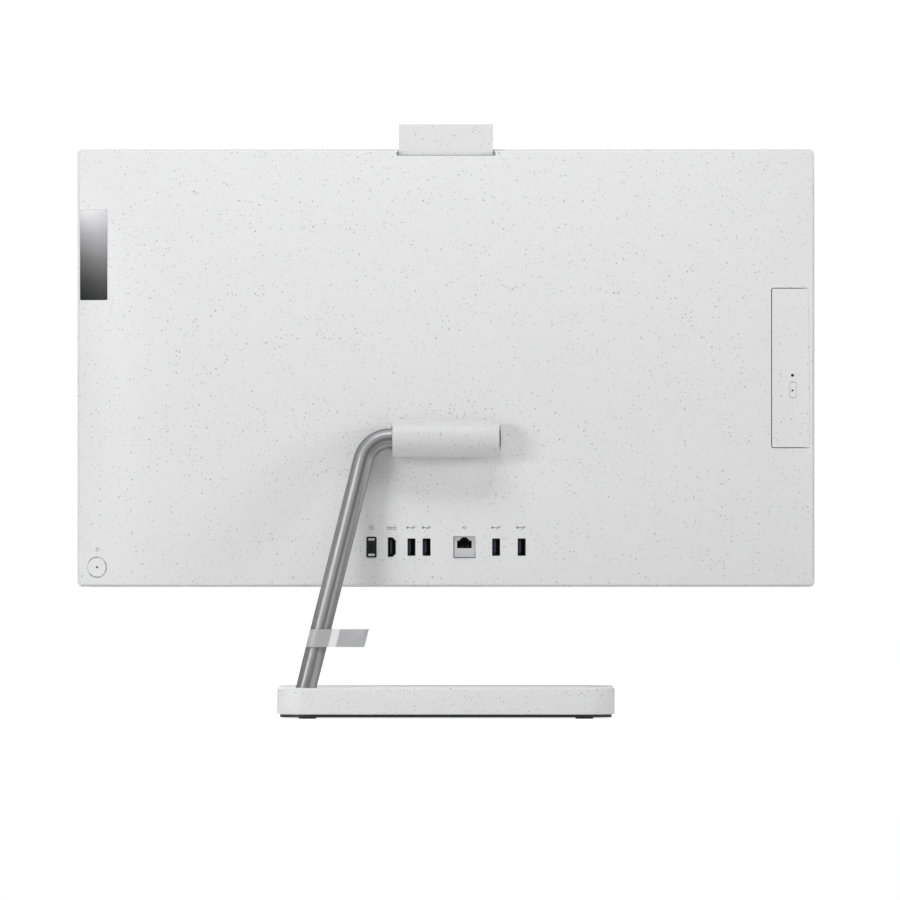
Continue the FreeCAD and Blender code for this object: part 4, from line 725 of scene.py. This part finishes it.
def cable_clip():
    low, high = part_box("cable_clip")
    foot, head = on_tube(low[2]), on_tube(high[2])
    outer, bore = TUBE_RADIUS + 2.2 * MM, TUBE_RADIUS + 0.05 * MM
    wall, depth, reach = 1.65 * MM, 10 * MM, 40 * MM
    mouth = 6.5 * MM  # half of the C's opening
    outer_mouth = math.degrees(math.asin(mouth / outer))
    bore_mouth = math.degrees(math.asin(mouth / bore))
    middle_y = outer - depth / 2
    join_angle = 180 - math.degrees(math.asin((middle_y - depth / 2) / outer))
    rib_start, rib_end = -TUBE_RADIUS - 1.0 * MM, -TUBE_RADIUS - 7.7 * MM
    outline = leaning_arc(outer, outer_mouth, 90, 14)
    outline += [(rib_start, middle_y + depth / 2), (rib_end, middle_y + depth / 2)]
    rib_face = len(outline) - 2
    outline += arc((-reach + depth / 2, middle_y), depth / 2, 90, 270, 20)
    outline += leaning_arc(outer, join_angle, 360 - outer_mouth, 30)
    outline += leaning_arc(bore, 360 - bore_mouth, bore_mouth, 48)
    inner = depth / 2 - wall
    hole = arc((-reach + depth / 2, middle_y), inner, 90, 270, 20)
    hole += [(rib_end, middle_y - inner), (rib_end, middle_y + inner)]
    shape = bmesh.new()
    for points in (outline, hole):
        rings = [loop(shape, [(end.x + x, end.y + y, end.z) for x, y in points]) for end in (foot, head)]
        bridge(shape, *rings)
    shape.faces.ensure_lookup_table()
    shape.faces[rib_face].material_index = 1
    for end in (foot, head):
        rim = [edge for edge in shape.edges if all(abs(v.co.z - end.z) < 1e-6 for v in edge.verts)]
        bmesh.ops.triangle_fill(shape, edges=rim, use_beauty=True)
    build(shape, "cable_clip_moulded", "clip", "clear_clip", clip_plastic, clip_rib_plastic,
          replaces=("cable_clip",))


cable_clip()

# %% [markdown]
# ## The base
# The base is a moulded lid with generous corners, a soft top edge and a hollow under it. Each level is one
# rounded outline, and a round edge is a run of outlines, each a little further in. The tube's hole is cut
# last with a leaning cylinder, since a slanted hole through a rounded lid is hard to draw as loops.

# %% Base lid
def carve(target, cutters):
    """Cuts closed meshes out of a piece and keeps the result as its plain mesh."""
    helpers = []
    for mesh in cutters:
        helper = bpy.data.objects.new("cutter", mesh)
        bpy.context.scene.collection.objects.link(helper)
        modifier = target.modifiers.new("cut", "BOOLEAN")
        modifier.operation = "DIFFERENCE"
        modifier.solver = "EXACT"
        modifier.object = helper
        helpers.append(helper)
    result = plain_copy(target)
    target.modifiers.clear()
    target.data = result
    for helper in helpers:
        bpy.data.objects.remove(helper)
    smooth_by_angle(result, 32)


def base_lid():
    low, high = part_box("base_cover")
    width, depth = high[0] - low[0], high[1] - low[1]
    corner, top_edge, foot_edge, wall = 25 * MM, 1.2 * MM, 1.0 * MM, 2.5 * MM
    shape = bmesh.new()

    def level(inset, z):
        points = rounded_outline(width - 2 * inset, depth - 2 * inset, corner - inset, 24)
        return loop(shape, [(x, y, z) for x, y in points])

    outside = []
    for step in range(6):
        angle = math.pi / 2 * step / 5
        outside.append(level(foot_edge * (1 - math.sin(angle)), low[2] + foot_edge * (1 - math.cos(angle))))
    for step in range(11):
        angle = math.pi / 2 * step / 10
        outside.append(level(top_edge * (1 - math.cos(angle)), high[2] - top_edge * (1 - math.sin(angle))))
    stack(shape, outside, close_first=False)
    inside = [level(wall, low[2]), level(wall, high[2] - wall)]
    stack(shape, inside, close_first=False)
    bridge(shape, outside[0], inside[0])
    made = build(shape, "base_lid", "stand", "speckled_white", speckled, replaces=("base_cover",))

    drill = bmesh.new()
    way, reach = TUBE_RADIUS + 0.4 * MM, 12 * MM
    turned(drill, [(-reach, 0), (-reach, way), (reach, way), (reach, 0)], on_tube(high[2]), TUBE_DOWN)
    carve(made, [as_mesh(drill, "tube_way")])


base_lid()

# %% [markdown]
# ## Feet
# Each rubber foot is a turned disc with a round edge and two shallow rings moulded into its sole, which
# grip the desk. One turned foot is instanced on four points, so all four are sure to be alike.

# %% Rubber feet
def repeat_on(name, mesh, spots, material, body, slot, turn=(0, 0, 0), replaced=()):
    """Geometry Nodes: one mesh on many points, all turned the same way."""
    sample = bpy.data.objects.new(name + "_sample", mesh)
    bpy.context.scene.collection.objects.link(sample)
    tree = Tree(name + "_tree", Sample=sample, Turn=tuple(turn), Finish=material)
    thing = tree.add("GeometryNodeObjectInfo", Object=tree.given("Sample"))
    points = tree.add("GeometryNodeMeshToPoints", Mesh=tree.given("Geometry"))
    placed = tree.add("GeometryNodeInstanceOnPoints", Points=points.outputs[0],
                      Instance=thing.outputs["Geometry"], Rotation=tree.given("Turn"))
    tree.end(placed.outputs[0], "Finish")
    result = tree.mesh(name, points_mesh(name + "_points", spots))
    bpy.data.objects.remove(sample)
    piece(name, result, body, slot, material, replaces=replaced)


def rubber_feet():
    low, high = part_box("base_feet")
    radius, edge, groove = 7.5 * MM, 0.4 * MM, 0.3 * MM
    sole, top = low[2], high[2]
    profile = [(sole, 0)]
    for first, last in ((2.2 * MM, 3.6 * MM), (4.8 * MM, 6.0 * MM)):
        profile += [(sole, first), (sole + groove, first + groove)]
        profile += [(sole + groove, last - groove), (sole, last)]
    profile += edge_arc(sole + edge, radius - edge, edge, 180, 90, 5)
    profile += [(top, radius), (top, 0)]
    shape = bmesh.new()
    turned(shape, profile, Vector((0, 0, 0)), (0, 0, 1), 64)
    spots = [(x, y, 0) for x in (low[0] + radius, high[0] - radius)
             for y in (low[1] + radius, high[1] - radius)]
    repeat_on("rubber_feet", as_mesh(shape, "foot_one"), spots, rubber, "stand", "foot_rubber",
              replaced=("base_feet",))


rubber_feet()

# %% [markdown]
# ## Screws of the base
# Six cross-head screws close the base from below. The cross is cut into one turned head before it is
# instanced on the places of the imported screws, so the slow cut is made once and not six times.

# %% Base screws
def cross_screw(radius, height, shaft, length):
    """A screw head with its flat face on z = 0 looking down, the shaft going up."""
    edge = radius * 0.28
    profile = [(0, 0)] + edge_arc(edge, radius - edge, edge, 180, 90, 5)
    profile += [(height, radius), (height, shaft), (length, shaft), (length, 0)]
    shape = bmesh.new()
    turned(shape, profile, Vector((0, 0, 0)), (0, 0, 1), 40)
    made = bpy.data.objects.new("cross_screw_host", as_mesh(shape, "cross_screw"))
    bpy.context.scene.collection.objects.link(made)
    arms = []
    for wide, long in ((radius * 0.22, radius * 0.62), (radius * 0.62, radius * 0.22)):
        arm = bmesh.new()
        bmesh.ops.create_cube(arm, size=2)
        bmesh.ops.scale(arm, vec=(wide, long, height * 0.55), verts=arm.verts)
        arms.append(as_mesh(arm, "cross_arm"))
    carve(made, arms)
    mesh = made.data
    bpy.data.objects.remove(made)
    return mesh


def base_screws():
    low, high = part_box("base_screws")
    radius = 3 * MM
    xs = (low[0] + radius, 0, high[0] - radius)
    ys = (low[1] + radius, high[1] - radius)
    spots = [(x, y, low[2]) for x in xs for y in ys]
    screw = cross_screw(radius, 2.0 * MM, 1.5 * MM, high[2] - low[2])
    repeat_on("base_screws_cross", screw, spots, steel, "stand", "plain_steel", replaced=("base_screws",))


base_screws()

# %% [markdown]
# ## The hinge barrel
# A thick moulded sleeve with crisp but rounded rims, closed by a pressed-in cap. Turning a profile gives
# both. The neck that carries the head is a plain block behind the sleeve. The sleeve and its cap use a
# slightly darker copy of the speckled plastic.

# %% Hinge barrel
def hinge_barrel():
    low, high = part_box("hinge_barrel")
    half = (high[0] - low[0]) / 2
    outer, bore, edge, wall = 15.5 * MM, 12.5 * MM, 0.9 * MM, 3 * MM
    tube_way = TUBE_RADIUS + 0.4 * MM
    shape = bmesh.new()
    profile = [(-half + 6 * MM, bore), (-half, bore)]
    profile += edge_arc(-half + edge, outer - edge, edge, 180, 90)
    profile += edge_arc(half - edge, outer - edge, edge, 90, 0)
    profile += [(half, tube_way), (half - wall, tube_way), (half - wall, bore), (-half + 6 * MM, bore)]
    turned(shape, profile, Vector((0, hinge.y, hinge.z)), (1, 0, 0), 160)
    neck_low, neck_high = low[1], hinge.y - outer + wall / 2
    outline = rounded_outline(70 * MM, 18 * MM, 2 * MM, 6)
    stack(shape, [loop(shape, at_y(outline, 0, hinge.z, y)) for y in (neck_low, neck_high)])
    build(shape, "hinge_barrel_sleeve", "display", "speckled_white", speckled_sleeve,
          replaces=("hinge_barrel",))


def barrel_cap():
    """A disc with a rounded rim and a shallow dimple in its middle."""
    low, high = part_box("barrel_cap")
    thick, radius, rim = high[0] - low[0], (high[2] - low[2]) / 2, 0.6 * MM
    profile = [(thick, 0), (thick, radius)] + edge_arc(rim, radius - rim, rim, 90, 180)
    profile += [(0, 3.4 * MM), (0.5 * MM, 2.9 * MM), (0.7 * MM, 0)]
    shape = bmesh.new()
    turned(shape, profile, Vector((low[0], hinge.y, hinge.z)), (1, 0, 0), 128)
    build(shape, "barrel_cap_disc", "display", "speckled_white", speckled_sleeve, replaces=("barrel_cap",))


hinge_barrel()
barrel_cap()

# %% [markdown]
# ## Sockets
# The row of sockets is what the eye looks for on the back of a computer. Each is built as the real one:
# a thin folded shell, a plastic tongue or body, and small sprung contacts. A ring between two outlines
# makes a shell; the contacts are one strip instanced on a line of points.

# %% Socket helpers
def ring_wall(shape, outer, inner, x, z, y_back, y_front, slot=0):
    """A tube of thin wall along Y, open at both ends."""
    loops = [loop(shape, at_y(points, x, z, y)) for points, y in
             ((outer, y_back), (outer, y_front), (inner, y_front), (inner, y_back), (outer, y_back))]
    for first, second in zip(loops, loops[1:]):
        bridge(shape, first, second, slot)


def solid_bar(shape, x, y, z, slot=0, soften=0.0):
    """A bar between (low, high) pairs, with its long edges softened."""
    outline = rounded_outline(x[1] - x[0], z[1] - z[0], max(soften, 0.02 * MM), 3)
    stack(shape, [loop(shape, at_y(outline, sum(x) / 2, sum(z) / 2, depth)) for depth in y], slot)


def face_of(name):
    """The middle (x, z), width, height, back and front of a packed socket."""
    low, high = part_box(name)
    x, z = (low[0] + high[0]) / 2, (low[2] + high[2]) / 2
    return x, z, high[0] - low[0], high[2] - low[2], low[1], high[1]


# %% [markdown]
# ### Four upright host sockets
# Each is a dark shell with a violet tongue on one side and four contacts along the tongue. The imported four
# are one node, so their places are read from its points, and points that lie close together in x are one
# socket.

# %% Host sockets
def host_groups():
    """The middle in x of each packed socket, and the low and high corner of its points."""
    points = [vertex.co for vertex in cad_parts["usb_sockets"].data.vertices]
    groups = []
    for x in sorted({round(point.x, 3) for point in points}):
        if not groups or x - groups[-1][-1] > 5 * MM:
            groups.append([])
        groups[-1].append(x)
    found = []
    for group in groups:
        x = (group[0] + group[-1]) / 2
        own = [point for point in points if abs(point.x - x) < 4 * MM]
        low = [min(point[axis] for point in own) for axis in range(3)]
        high = [max(point[axis] for point in own) for axis in range(3)]
        found.append((x, low, high))
    return found


def host_sockets():
    groups = host_groups()
    print("host sockets at x", [round(x, 4) for x, _, _ in groups])
    half_tongue, skin = 5.6 * MM, 0.3 * MM
    shape = bmesh.new()
    contacts = []
    for x, low, high in groups:
        z, back, front = (low[2] + high[2]) / 2, low[1], high[1]
        wide, tall = high[0] - low[0], high[2] - low[2]
        outer = rounded_outline(wide, tall, 0.5 * MM, 4)
        inner = rounded_outline(wide - 0.7 * MM, tall - 0.7 * MM, 0.25 * MM, 4)
        ring_wall(shape, outer, inner, x, z, back, front, 0)
        solid_bar(shape, (x - wide / 2 + skin, x + wide / 2 - skin), (back, back + 4 * MM),
                  (z - tall / 2 + skin, z + tall / 2 - skin), 1)
        solid_bar(shape, (x + 0.5 * MM, x + 2.3 * MM), (back + 3 * MM, front - 0.5 * MM),
                  (z - half_tongue, z + half_tongue), 2, 0.3 * MM)
        for rise in (-3.5, -1.2, 1.2, 3.5):
            contacts.append((x + 0.45 * MM, front - 4.5 * MM, z + rise * MM))
    build(shape, "host_sockets", "display", "socket_metal", black_plastic, gap_dark, violet_tongue,
          replaces=("usb_sockets",))
    strip = bmesh.new()
    solid_bar(strip, (-0.12 * MM, 0.12 * MM), (-3.5 * MM, 3.5 * MM), (-0.5 * MM, 0.5 * MM), 0, 0.1 * MM)
    repeat_on("host_contacts", as_mesh(strip, "contact_one"), contacts, gold, "display", "socket_metal")
    return sorted([x for x, _, _ in groups], reverse=True)


HOST_X = host_sockets()

# %% [markdown]
# ### Network jack
# A folded bright shield with a stepped mouth, so the plug's latch has its notch. Eight spring contacts lean
# in the throat. The shield's face has as many points as the mouth, so one ring of quads joins them.

# %% Network jack
def mirrored(points):
    """An outline given by its right half from the bottom up, closed by the left half."""
    return points + [(-right, up) for right, up in reversed(points)]


def network_jack():
    x, z, wide, tall, back, front = face_of("network_socket")
    throat, rim, proud = 11 * MM, 0.35 * MM, 0.08 * MM
    steps = ((6.1, -0.9), (6.1, 5.4), (3.9, 5.4), (3.9, 6.9), (2.3, 6.9), (2.3, 8.2))
    mouth = mirrored([(right * MM, up * MM) for right, up in steps])
    face = mirrored([(wide / 2, -tall / 2), (wide / 2, tall * 0.4), (wide / 2, tall / 2),
                     (wide * 0.3, tall / 2), (wide * 0.2, tall / 2), (wide * 0.1, tall / 2)])
    shape = bmesh.new()
    ring_wall(shape, face, mouth, x, z, back, front, 0)
    shape.faces.new(loop(shape, at_y(mouth, x, z, front - throat))).material_index = 1
    # Dark bars along the shield's sides and foot are painted shade of its folded flanges.
    shade_bar_depth = (front - 3 * MM, front + proud)
    for side in (-1, 1):
        edge = x + side * wide / 2
        solid_bar(shape, (edge - rim, edge), shade_bar_depth, (z - tall / 2, z + tall / 2), 1)
    solid_bar(shape, (x - wide / 2, x + wide / 2), shade_bar_depth, (z - tall / 2, z - tall / 2 + rim), 1)
    build(shape, "network_jack", "display", "socket_metal", spring_steel, gap_dark,
          replaces=("network_socket",))
    liner = bmesh.new()
    centre_up, shrink = 3 * MM, 0.985
    inner = [(right * shrink, (up - centre_up) * shrink + centre_up) for right, up in mouth]
    ring_wall(liner, mouth, inner, x, z, front - throat, front - rim)
    build(liner, "network_jack_liner", "display", "socket_metal", gap_dark)


def network_springs():
    x, z, _, _, _, front = face_of("network_socket")
    pitch, lean = 1.02 * MM, math.radians(14)
    strip = bmesh.new()
    solid_bar(strip, (-0.2 * MM, 0.2 * MM), (-4 * MM, 4 * MM), (-0.12 * MM, 0.12 * MM), 0, 0.08 * MM)
    spots = [(x + (i - 3.5) * pitch, front - 6.5 * MM, z - 0.1 * MM) for i in range(8)]
    repeat_on("network_springs", as_mesh(strip, "jack_spring"), spots, gold, "display", "socket_metal",
              turn=(lean, 0, 0))


network_jack()
network_springs()

# %% [markdown]
# ### Power inlet
# The power inlet is a black rounded frame with an insert above and below its slot, whose pale colour is a
# painted reflection on its metal. The slot is a thin wall of its own with a blade in the middle, so it stays
# readable at a glance.

# %% Power inlet
def power_inlet():
    x, z, wide, tall, back, front = face_of("power_socket")
    skin, floor_depth = 0.7 * MM, 3.4 * MM
    shape = bmesh.new()
    outer = rounded_outline(wide, tall, 1.3 * MM)
    inner = rounded_outline(wide - 1.5 * MM, tall - 1.5 * MM, 0.8 * MM)
    ring_wall(shape, outer, inner, x, z, back, front + 0.25 * MM, 0)
    solid_bar(shape, (x - wide / 2 + skin, x + wide / 2 - skin), (back, front - 3.2 * MM),
              (z - tall / 2 + skin, z + tall / 2 - skin), 0)
    # The two pale bars are the insert, its paleness a painted reflection.
    for side in (-1, 1):
        at = z + side * (tall / 2 - 2.1 * MM)
        solid_bar(shape, (x - 2.6 * MM, x + 2.6 * MM), (front - floor_depth, front - 0.3 * MM),
                  (at - 0.85 * MM, at + 0.85 * MM), 1, 0.3 * MM)
    slot_outer = rounded_outline(4.0 * MM, 9.6 * MM, 0.8 * MM)
    slot_inner = rounded_outline(3.0 * MM, 8.6 * MM, 0.4 * MM)
    ring_wall(shape, slot_outer, slot_inner, x, z, front - floor_depth, front - 0.5 * MM, 2)
    solid_bar(shape, (x - 0.6 * MM, x + 0.6 * MM), (front - floor_depth, front - 1.0 * MM),
              (z - 3.4 * MM, z + 3.4 * MM), 3, 0.3 * MM)
    build(shape, "power_inlet", "display", "black_plastic", black_plastic, insert_painted_reflection, chip_black,
          gap_dark, replaces=("power_socket",))


power_inlet()

# %% [markdown]
# ### Display socket
# The display socket is a black shell whose two corners on one side are cut off, so that its plug goes in
# one way only, with a tongue in the middle. One outline at two sizes gives the shell its thin wall.

# %% Display socket
def display_socket():
    x, z, wide, tall, back, front = face_of("display_socket")
    floor_depth = 7 * MM

    def cut_corner(shrink):
        """An upright oblong whose two corners towards -X are cut off."""
        w, t, c = wide / 2 - shrink, tall / 2 - shrink, 2.6 * MM - shrink * 0.4
        return [(-w, -t + c), (-w + c, -t), (w, -t), (w, t), (-w + c, t), (-w, t - c)]

    shape = bmesh.new()
    ring_wall(shape, cut_corner(0), cut_corner(0.45 * MM), x, z, back, front, 0)
    bottom = at_y(cut_corner(0.3 * MM), x, z, front - floor_depth)
    shape.faces.new(loop(shape, bottom)).material_index = 1
    solid_bar(shape, (x - 0.1 * MM, x + 1.3 * MM), (front - floor_depth, front - 0.7 * MM),
              (z - 5.6 * MM, z + 5.6 * MM), 2, 0.2 * MM)
    build(shape, "display_socket_shell", "display", "socket_metal", black_plastic, gap_dark, chip_black,
          replaces=("display_socket",))


display_socket()

# %% [markdown]
# ## Printed marks
# Small grey signs are printed above the sockets. They are plain shapes of this object's own: rings, bars,
# dots and an arrow head. Each is a thin film laid on the skin: every point is projected onto the dome, then
# the film is given a little thickness. Real geometry stays crisp where a painted image would blur.

# %% Socket marks
FILM_OUT, FILM_IN = 0.05 * MM, -0.02 * MM


def film(shape, outline, x, z, hole=None):
    """A thin patch on the rear skin. Points are (right, up) as seen from behind, in millimetres."""
    def laid(points, lift):
        out = []
        for right, up in points:
            point, normal = on_skin(x - right * MM, z + up * MM)
            out.append(point + normal * lift)
        return loop(shape, out)

    above, below = laid(outline, FILM_OUT), laid(outline, FILM_IN)
    bridge(shape, above, below)
    if hole is None:
        shape.faces.new(above)
        shape.faces.new(below)
        return
    hole_above, hole_below = laid(hole, FILM_OUT), laid(hole, FILM_IN)
    bridge(shape, above, hole_above)
    bridge(shape, below, hole_below)
    bridge(shape, hole_above, hole_below)


def disc_points(radius, right=0.0, up=0.0, steps=20):
    turns = [math.tau * i / steps for i in range(steps)]
    return [(right + radius * math.cos(turn), up + radius * math.sin(turn)) for turn in turns]


def bar_points(right, up, wide, tall):
    return [(right - wide / 2, up - tall / 2), (right + wide / 2, up - tall / 2),
            (right + wide / 2, up + tall / 2), (right - wide / 2, up + tall / 2)]


def printed(name, body, ink, *films):
    """Builds one piece from films, each an outline, its x and z, and a hole if it has one."""
    shape = bmesh.new()
    for one in films:
        film(shape, *one)
    build(shape, name, body, "black_plastic", ink, weld=1e-7)


def socket_marks():
    row = middle("network_socket").z + 16.3 * MM
    power, display, jack = (middle(name).x for name in ("power_socket", "display_socket", "network_socket"))
    films = [(disc_points(1.9), power, row, disc_points(1.35)), (bar_points(0, 0, 1.4, 0.5), power, row)]
    for start in (-3.6, -1.9, -0.2, 1.5, 3.2):
        films.append((bar_points(start, 0, 1.1, 1.5), display, row))
    films.append((bar_points(0, -1.5, 8.2, 0.4), display, row))
    arrow_head = [(-1.9, 0), (0.6, 1.6), (0.6, 0.9), (-0.8, 0), (0.6, -0.9), (0.6, -1.6)]
    films += [(arrow_head, jack, row), (disc_points(0.55, 1.5, 0.0), jack, row)]
    for x, long in zip(HOST_X, (False, False, True, True)):
        films.append((bar_points(0, 0, 7.4 if long else 6.6, 0.55), x, row))
        films.append((disc_points(1.0, -3.2, 0, 16), x, row))
        films.append((bar_points(2.2, 0.9 if long else 1.0, 2.2, 0.5), x, row))
        films.append((bar_points(1.0, -0.95, 2.0, 0.5), x, row))
    printed("socket_marks", "display", print_and_shade_ink, *films)


socket_marks()

# %% [markdown]
# ## Marks on the buttons, and painted shadow round the camera's notch
# The power button has a sign above it, a dark dot in its middle and a thin ring of painted shade where its
# gap runs round it. The disc drive's button has a small triangle, and above it a dark disc of painted shade
# stands in for a pin hole. Each is a film too, and a film that lies on a moving piece rides with that piece.
# Three thin dark bars of painted shadow lie round the notch that the camera rises from, a hair wider than
# the gap, so the notch reads as a clean dark line.

# %% Button marks
def button_marks():
    button, eject = middle("power_button"), middle("eject_button")
    sign_x, sign_z = button.x - 0.2 * MM, button.z + 14.6 * MM
    printed("power_sign", "display", print_and_shade_ink, (disc_points(1.5), sign_x, sign_z, disc_points(1.05)),
            (bar_points(0, 1.2, 0.45, 1.2), sign_x, sign_z))
    printed("power_dot", "power_key", gap_dark, (disc_points(0.9), button.x, button.z))
    # A thin dark ring of painted shade where the button's gap runs round it.
    printed("power_ring", "power_key", print_and_shade_ink,
            (disc_points(8.35, steps=64), button.x, button.z, disc_points(7.95, steps=64)))
    triangle = [(-0.7, -1.2), (1.3, 0), (-0.7, 1.2)]
    printed("eject_sign", "eject", gap_dark, (triangle, eject.x, eject.z - 0.4 * MM))
    # A dark disc of painted shade stands in for the pin hole above the button.
    hole_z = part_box("eject_button")[1][2] + 5.8 * MM
    printed("release_hole", "tray", gap_dark, (disc_points(1.3), eject.x, hole_z))


def camera_seal():
    """Painted shadow: three dark bars round the notch that the camera rises from, in millimetres."""
    low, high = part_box("camera_housing")
    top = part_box("front_frame")[1][2]
    reach = (high[0] - low[0]) / 2 / MM + 1.65
    foot, head, thick = -5.35, -2.5, 0.5
    start = foot + thick / 2
    bars = [(bar_points(0, foot, 2 * reach + 0.6, thick), 0, top)]
    for side in (-1, 1):
        bars.append((bar_points(side * reach, (start + head) / 2, 0.8, head - start), 0, top))
    printed("camera_seal", "display", print_and_shade_ink, *bars)


button_marks()
camera_seal()

# %% [markdown]
# ## The room
# The computer stands on a wide pale floor in a bright surround, as on a paper sweep. Floor and surround are
# white to the eye of the camera but much greyer as lights, because a room that lit the cover evenly from all
# round would take the soft shading of the dome away.

# %% Floor and surround
WHITE = (1, 1, 1, 1)


def studio_floor():
    material, shader = finish("studio_floor", (0.6, 0.6, 0.6), 0.9)
    tone = between(material, grain(material, place(material), 0.7), 0.3, 0.7)
    paint(material, shader, blend_color(material, tone, (0.60, 0.60, 0.60), (0.62, 0.62, 0.62)))
    shader.inputs["Specular IOR Level"].default_value = 0.0
    shader.inputs["Emission Color"].default_value = WHITE
    path = node(material, "ShaderNodeLightPath")
    glow = between(material, path.outputs["Is Camera Ray"], 0.0, 1.0, 0.20, 0.88)
    join(material, glow, shader.inputs["Emission Strength"])
    shape = bmesh.new()
    half = 40  # metres
    shape.faces.new(loop(shape, [(-half, -half, 0), (half, -half, 0), (half, half, 0), (-half, half, 0)]))
    mesh = bpy.data.meshes.new("floor")
    shape.to_mesh(mesh)
    shape.free()
    mesh.materials.append(material)
    floor = bpy.data.objects.new("floor", mesh)
    floor.location.z = -0.5 * MM
    bpy.context.scene.collection.objects.link(floor)


def surround():
    world = bpy.data.worlds.new("surround")
    bpy.context.scene.world = world
    world.use_nodes = True
    tree = world.node_tree
    lit = tree.nodes["Background"]
    lit.inputs["Color"].default_value = WHITE
    lit.inputs["Strength"].default_value = 0.21
    seen = new_node(tree, "ShaderNodeBackground", None, {"Color": WHITE, "Strength": 1.05})
    path = new_node(tree, "ShaderNodeLightPath", None, {})
    either = new_node(tree, "ShaderNodeMixShader", None,
                      {"i0": path.outputs["Is Camera Ray"], "i1": lit.outputs[0], "i2": seen.outputs[0]})
    tree.links.new(either.outputs[0], tree.nodes["World Output"].inputs["Surface"])


studio_floor()
surround()

# %% [markdown]
# ## Lights
# Five soft boxes light the set. The large key light stands behind and to the left of the cover, as seen from
# the rear, the top light draws the barrel's shadow, and the front light fills the glass side. A narrow side
# light brings up the right side of the cover, and a tiny one near the floor brightens the base's left end. A
# box with a small spread angle throws a tight beam, so it needs very little power.

# %% Lights
def soft_light(name, place_at, aim, size, power, spread=180):
    light = bpy.data.lights.new(name, "AREA")
    light.shape = "RECTANGLE"
    light.size, light.size_y = size
    light.energy = power
    light.spread = math.radians(spread)
    made = bpy.data.objects.new(name, light)
    made.location = place_at
    made.rotation_euler = (Vector(aim) - Vector(place_at)).to_track_quat("-Z", "Y").to_euler()
    bpy.context.scene.collection.objects.link(made)


soft_light("key_light", (2.0, 1.9, 0.85), (0, 0, 0.24), (0.9, 0.9), 24)
soft_light("side_light", (-2.5, 0.65, 0.9), (-0.28, 0, 0.42), (0.3, 0.8), 1.1, 36)
soft_light("top_light", (0.2, 1.1, 2.2), (0.05, 0, 0.45), (1.8, 0.5), 24)
soft_light("base_light", (0.9, 0.8, 0.10), (0.12, 0.1, 0.015), (0.2, 0.1), 0.014, 25)
soft_light("front_light", (0.8, -2.4, 1.6), (0, 0, 0.25), (1.6, 1.2), 26)

# %% [markdown]
# ## Camera
# The camera stands far away with a long lens, level and straight behind the computer, so upright edges stay
# upright and the depth hardly shows. A lens held close by would show the cover's sides. The lens is worked
# out from the width of the scene that should fill the frame at the cover's depth.

# %% Camera
def rear_camera():
    camera = bpy.data.cameras.new("camera")
    made = bpy.data.objects.new("camera", camera)
    distance, cover_depth = 14.0, 20 * MM
    width_in_frame = 0.7519
    made.location = (-3.4 * MM, distance, 223.5 * MM)
    made.rotation_euler = (math.pi / 2, 0, math.pi)
    camera.lens = camera.sensor_width * (distance - cover_depth) / width_in_frame
    camera.clip_end = 200
    bpy.context.scene.collection.objects.link(made)
    bpy.context.scene.camera = made


rear_camera()
bpy.context.scene.view_settings.view_transform = "Standard"
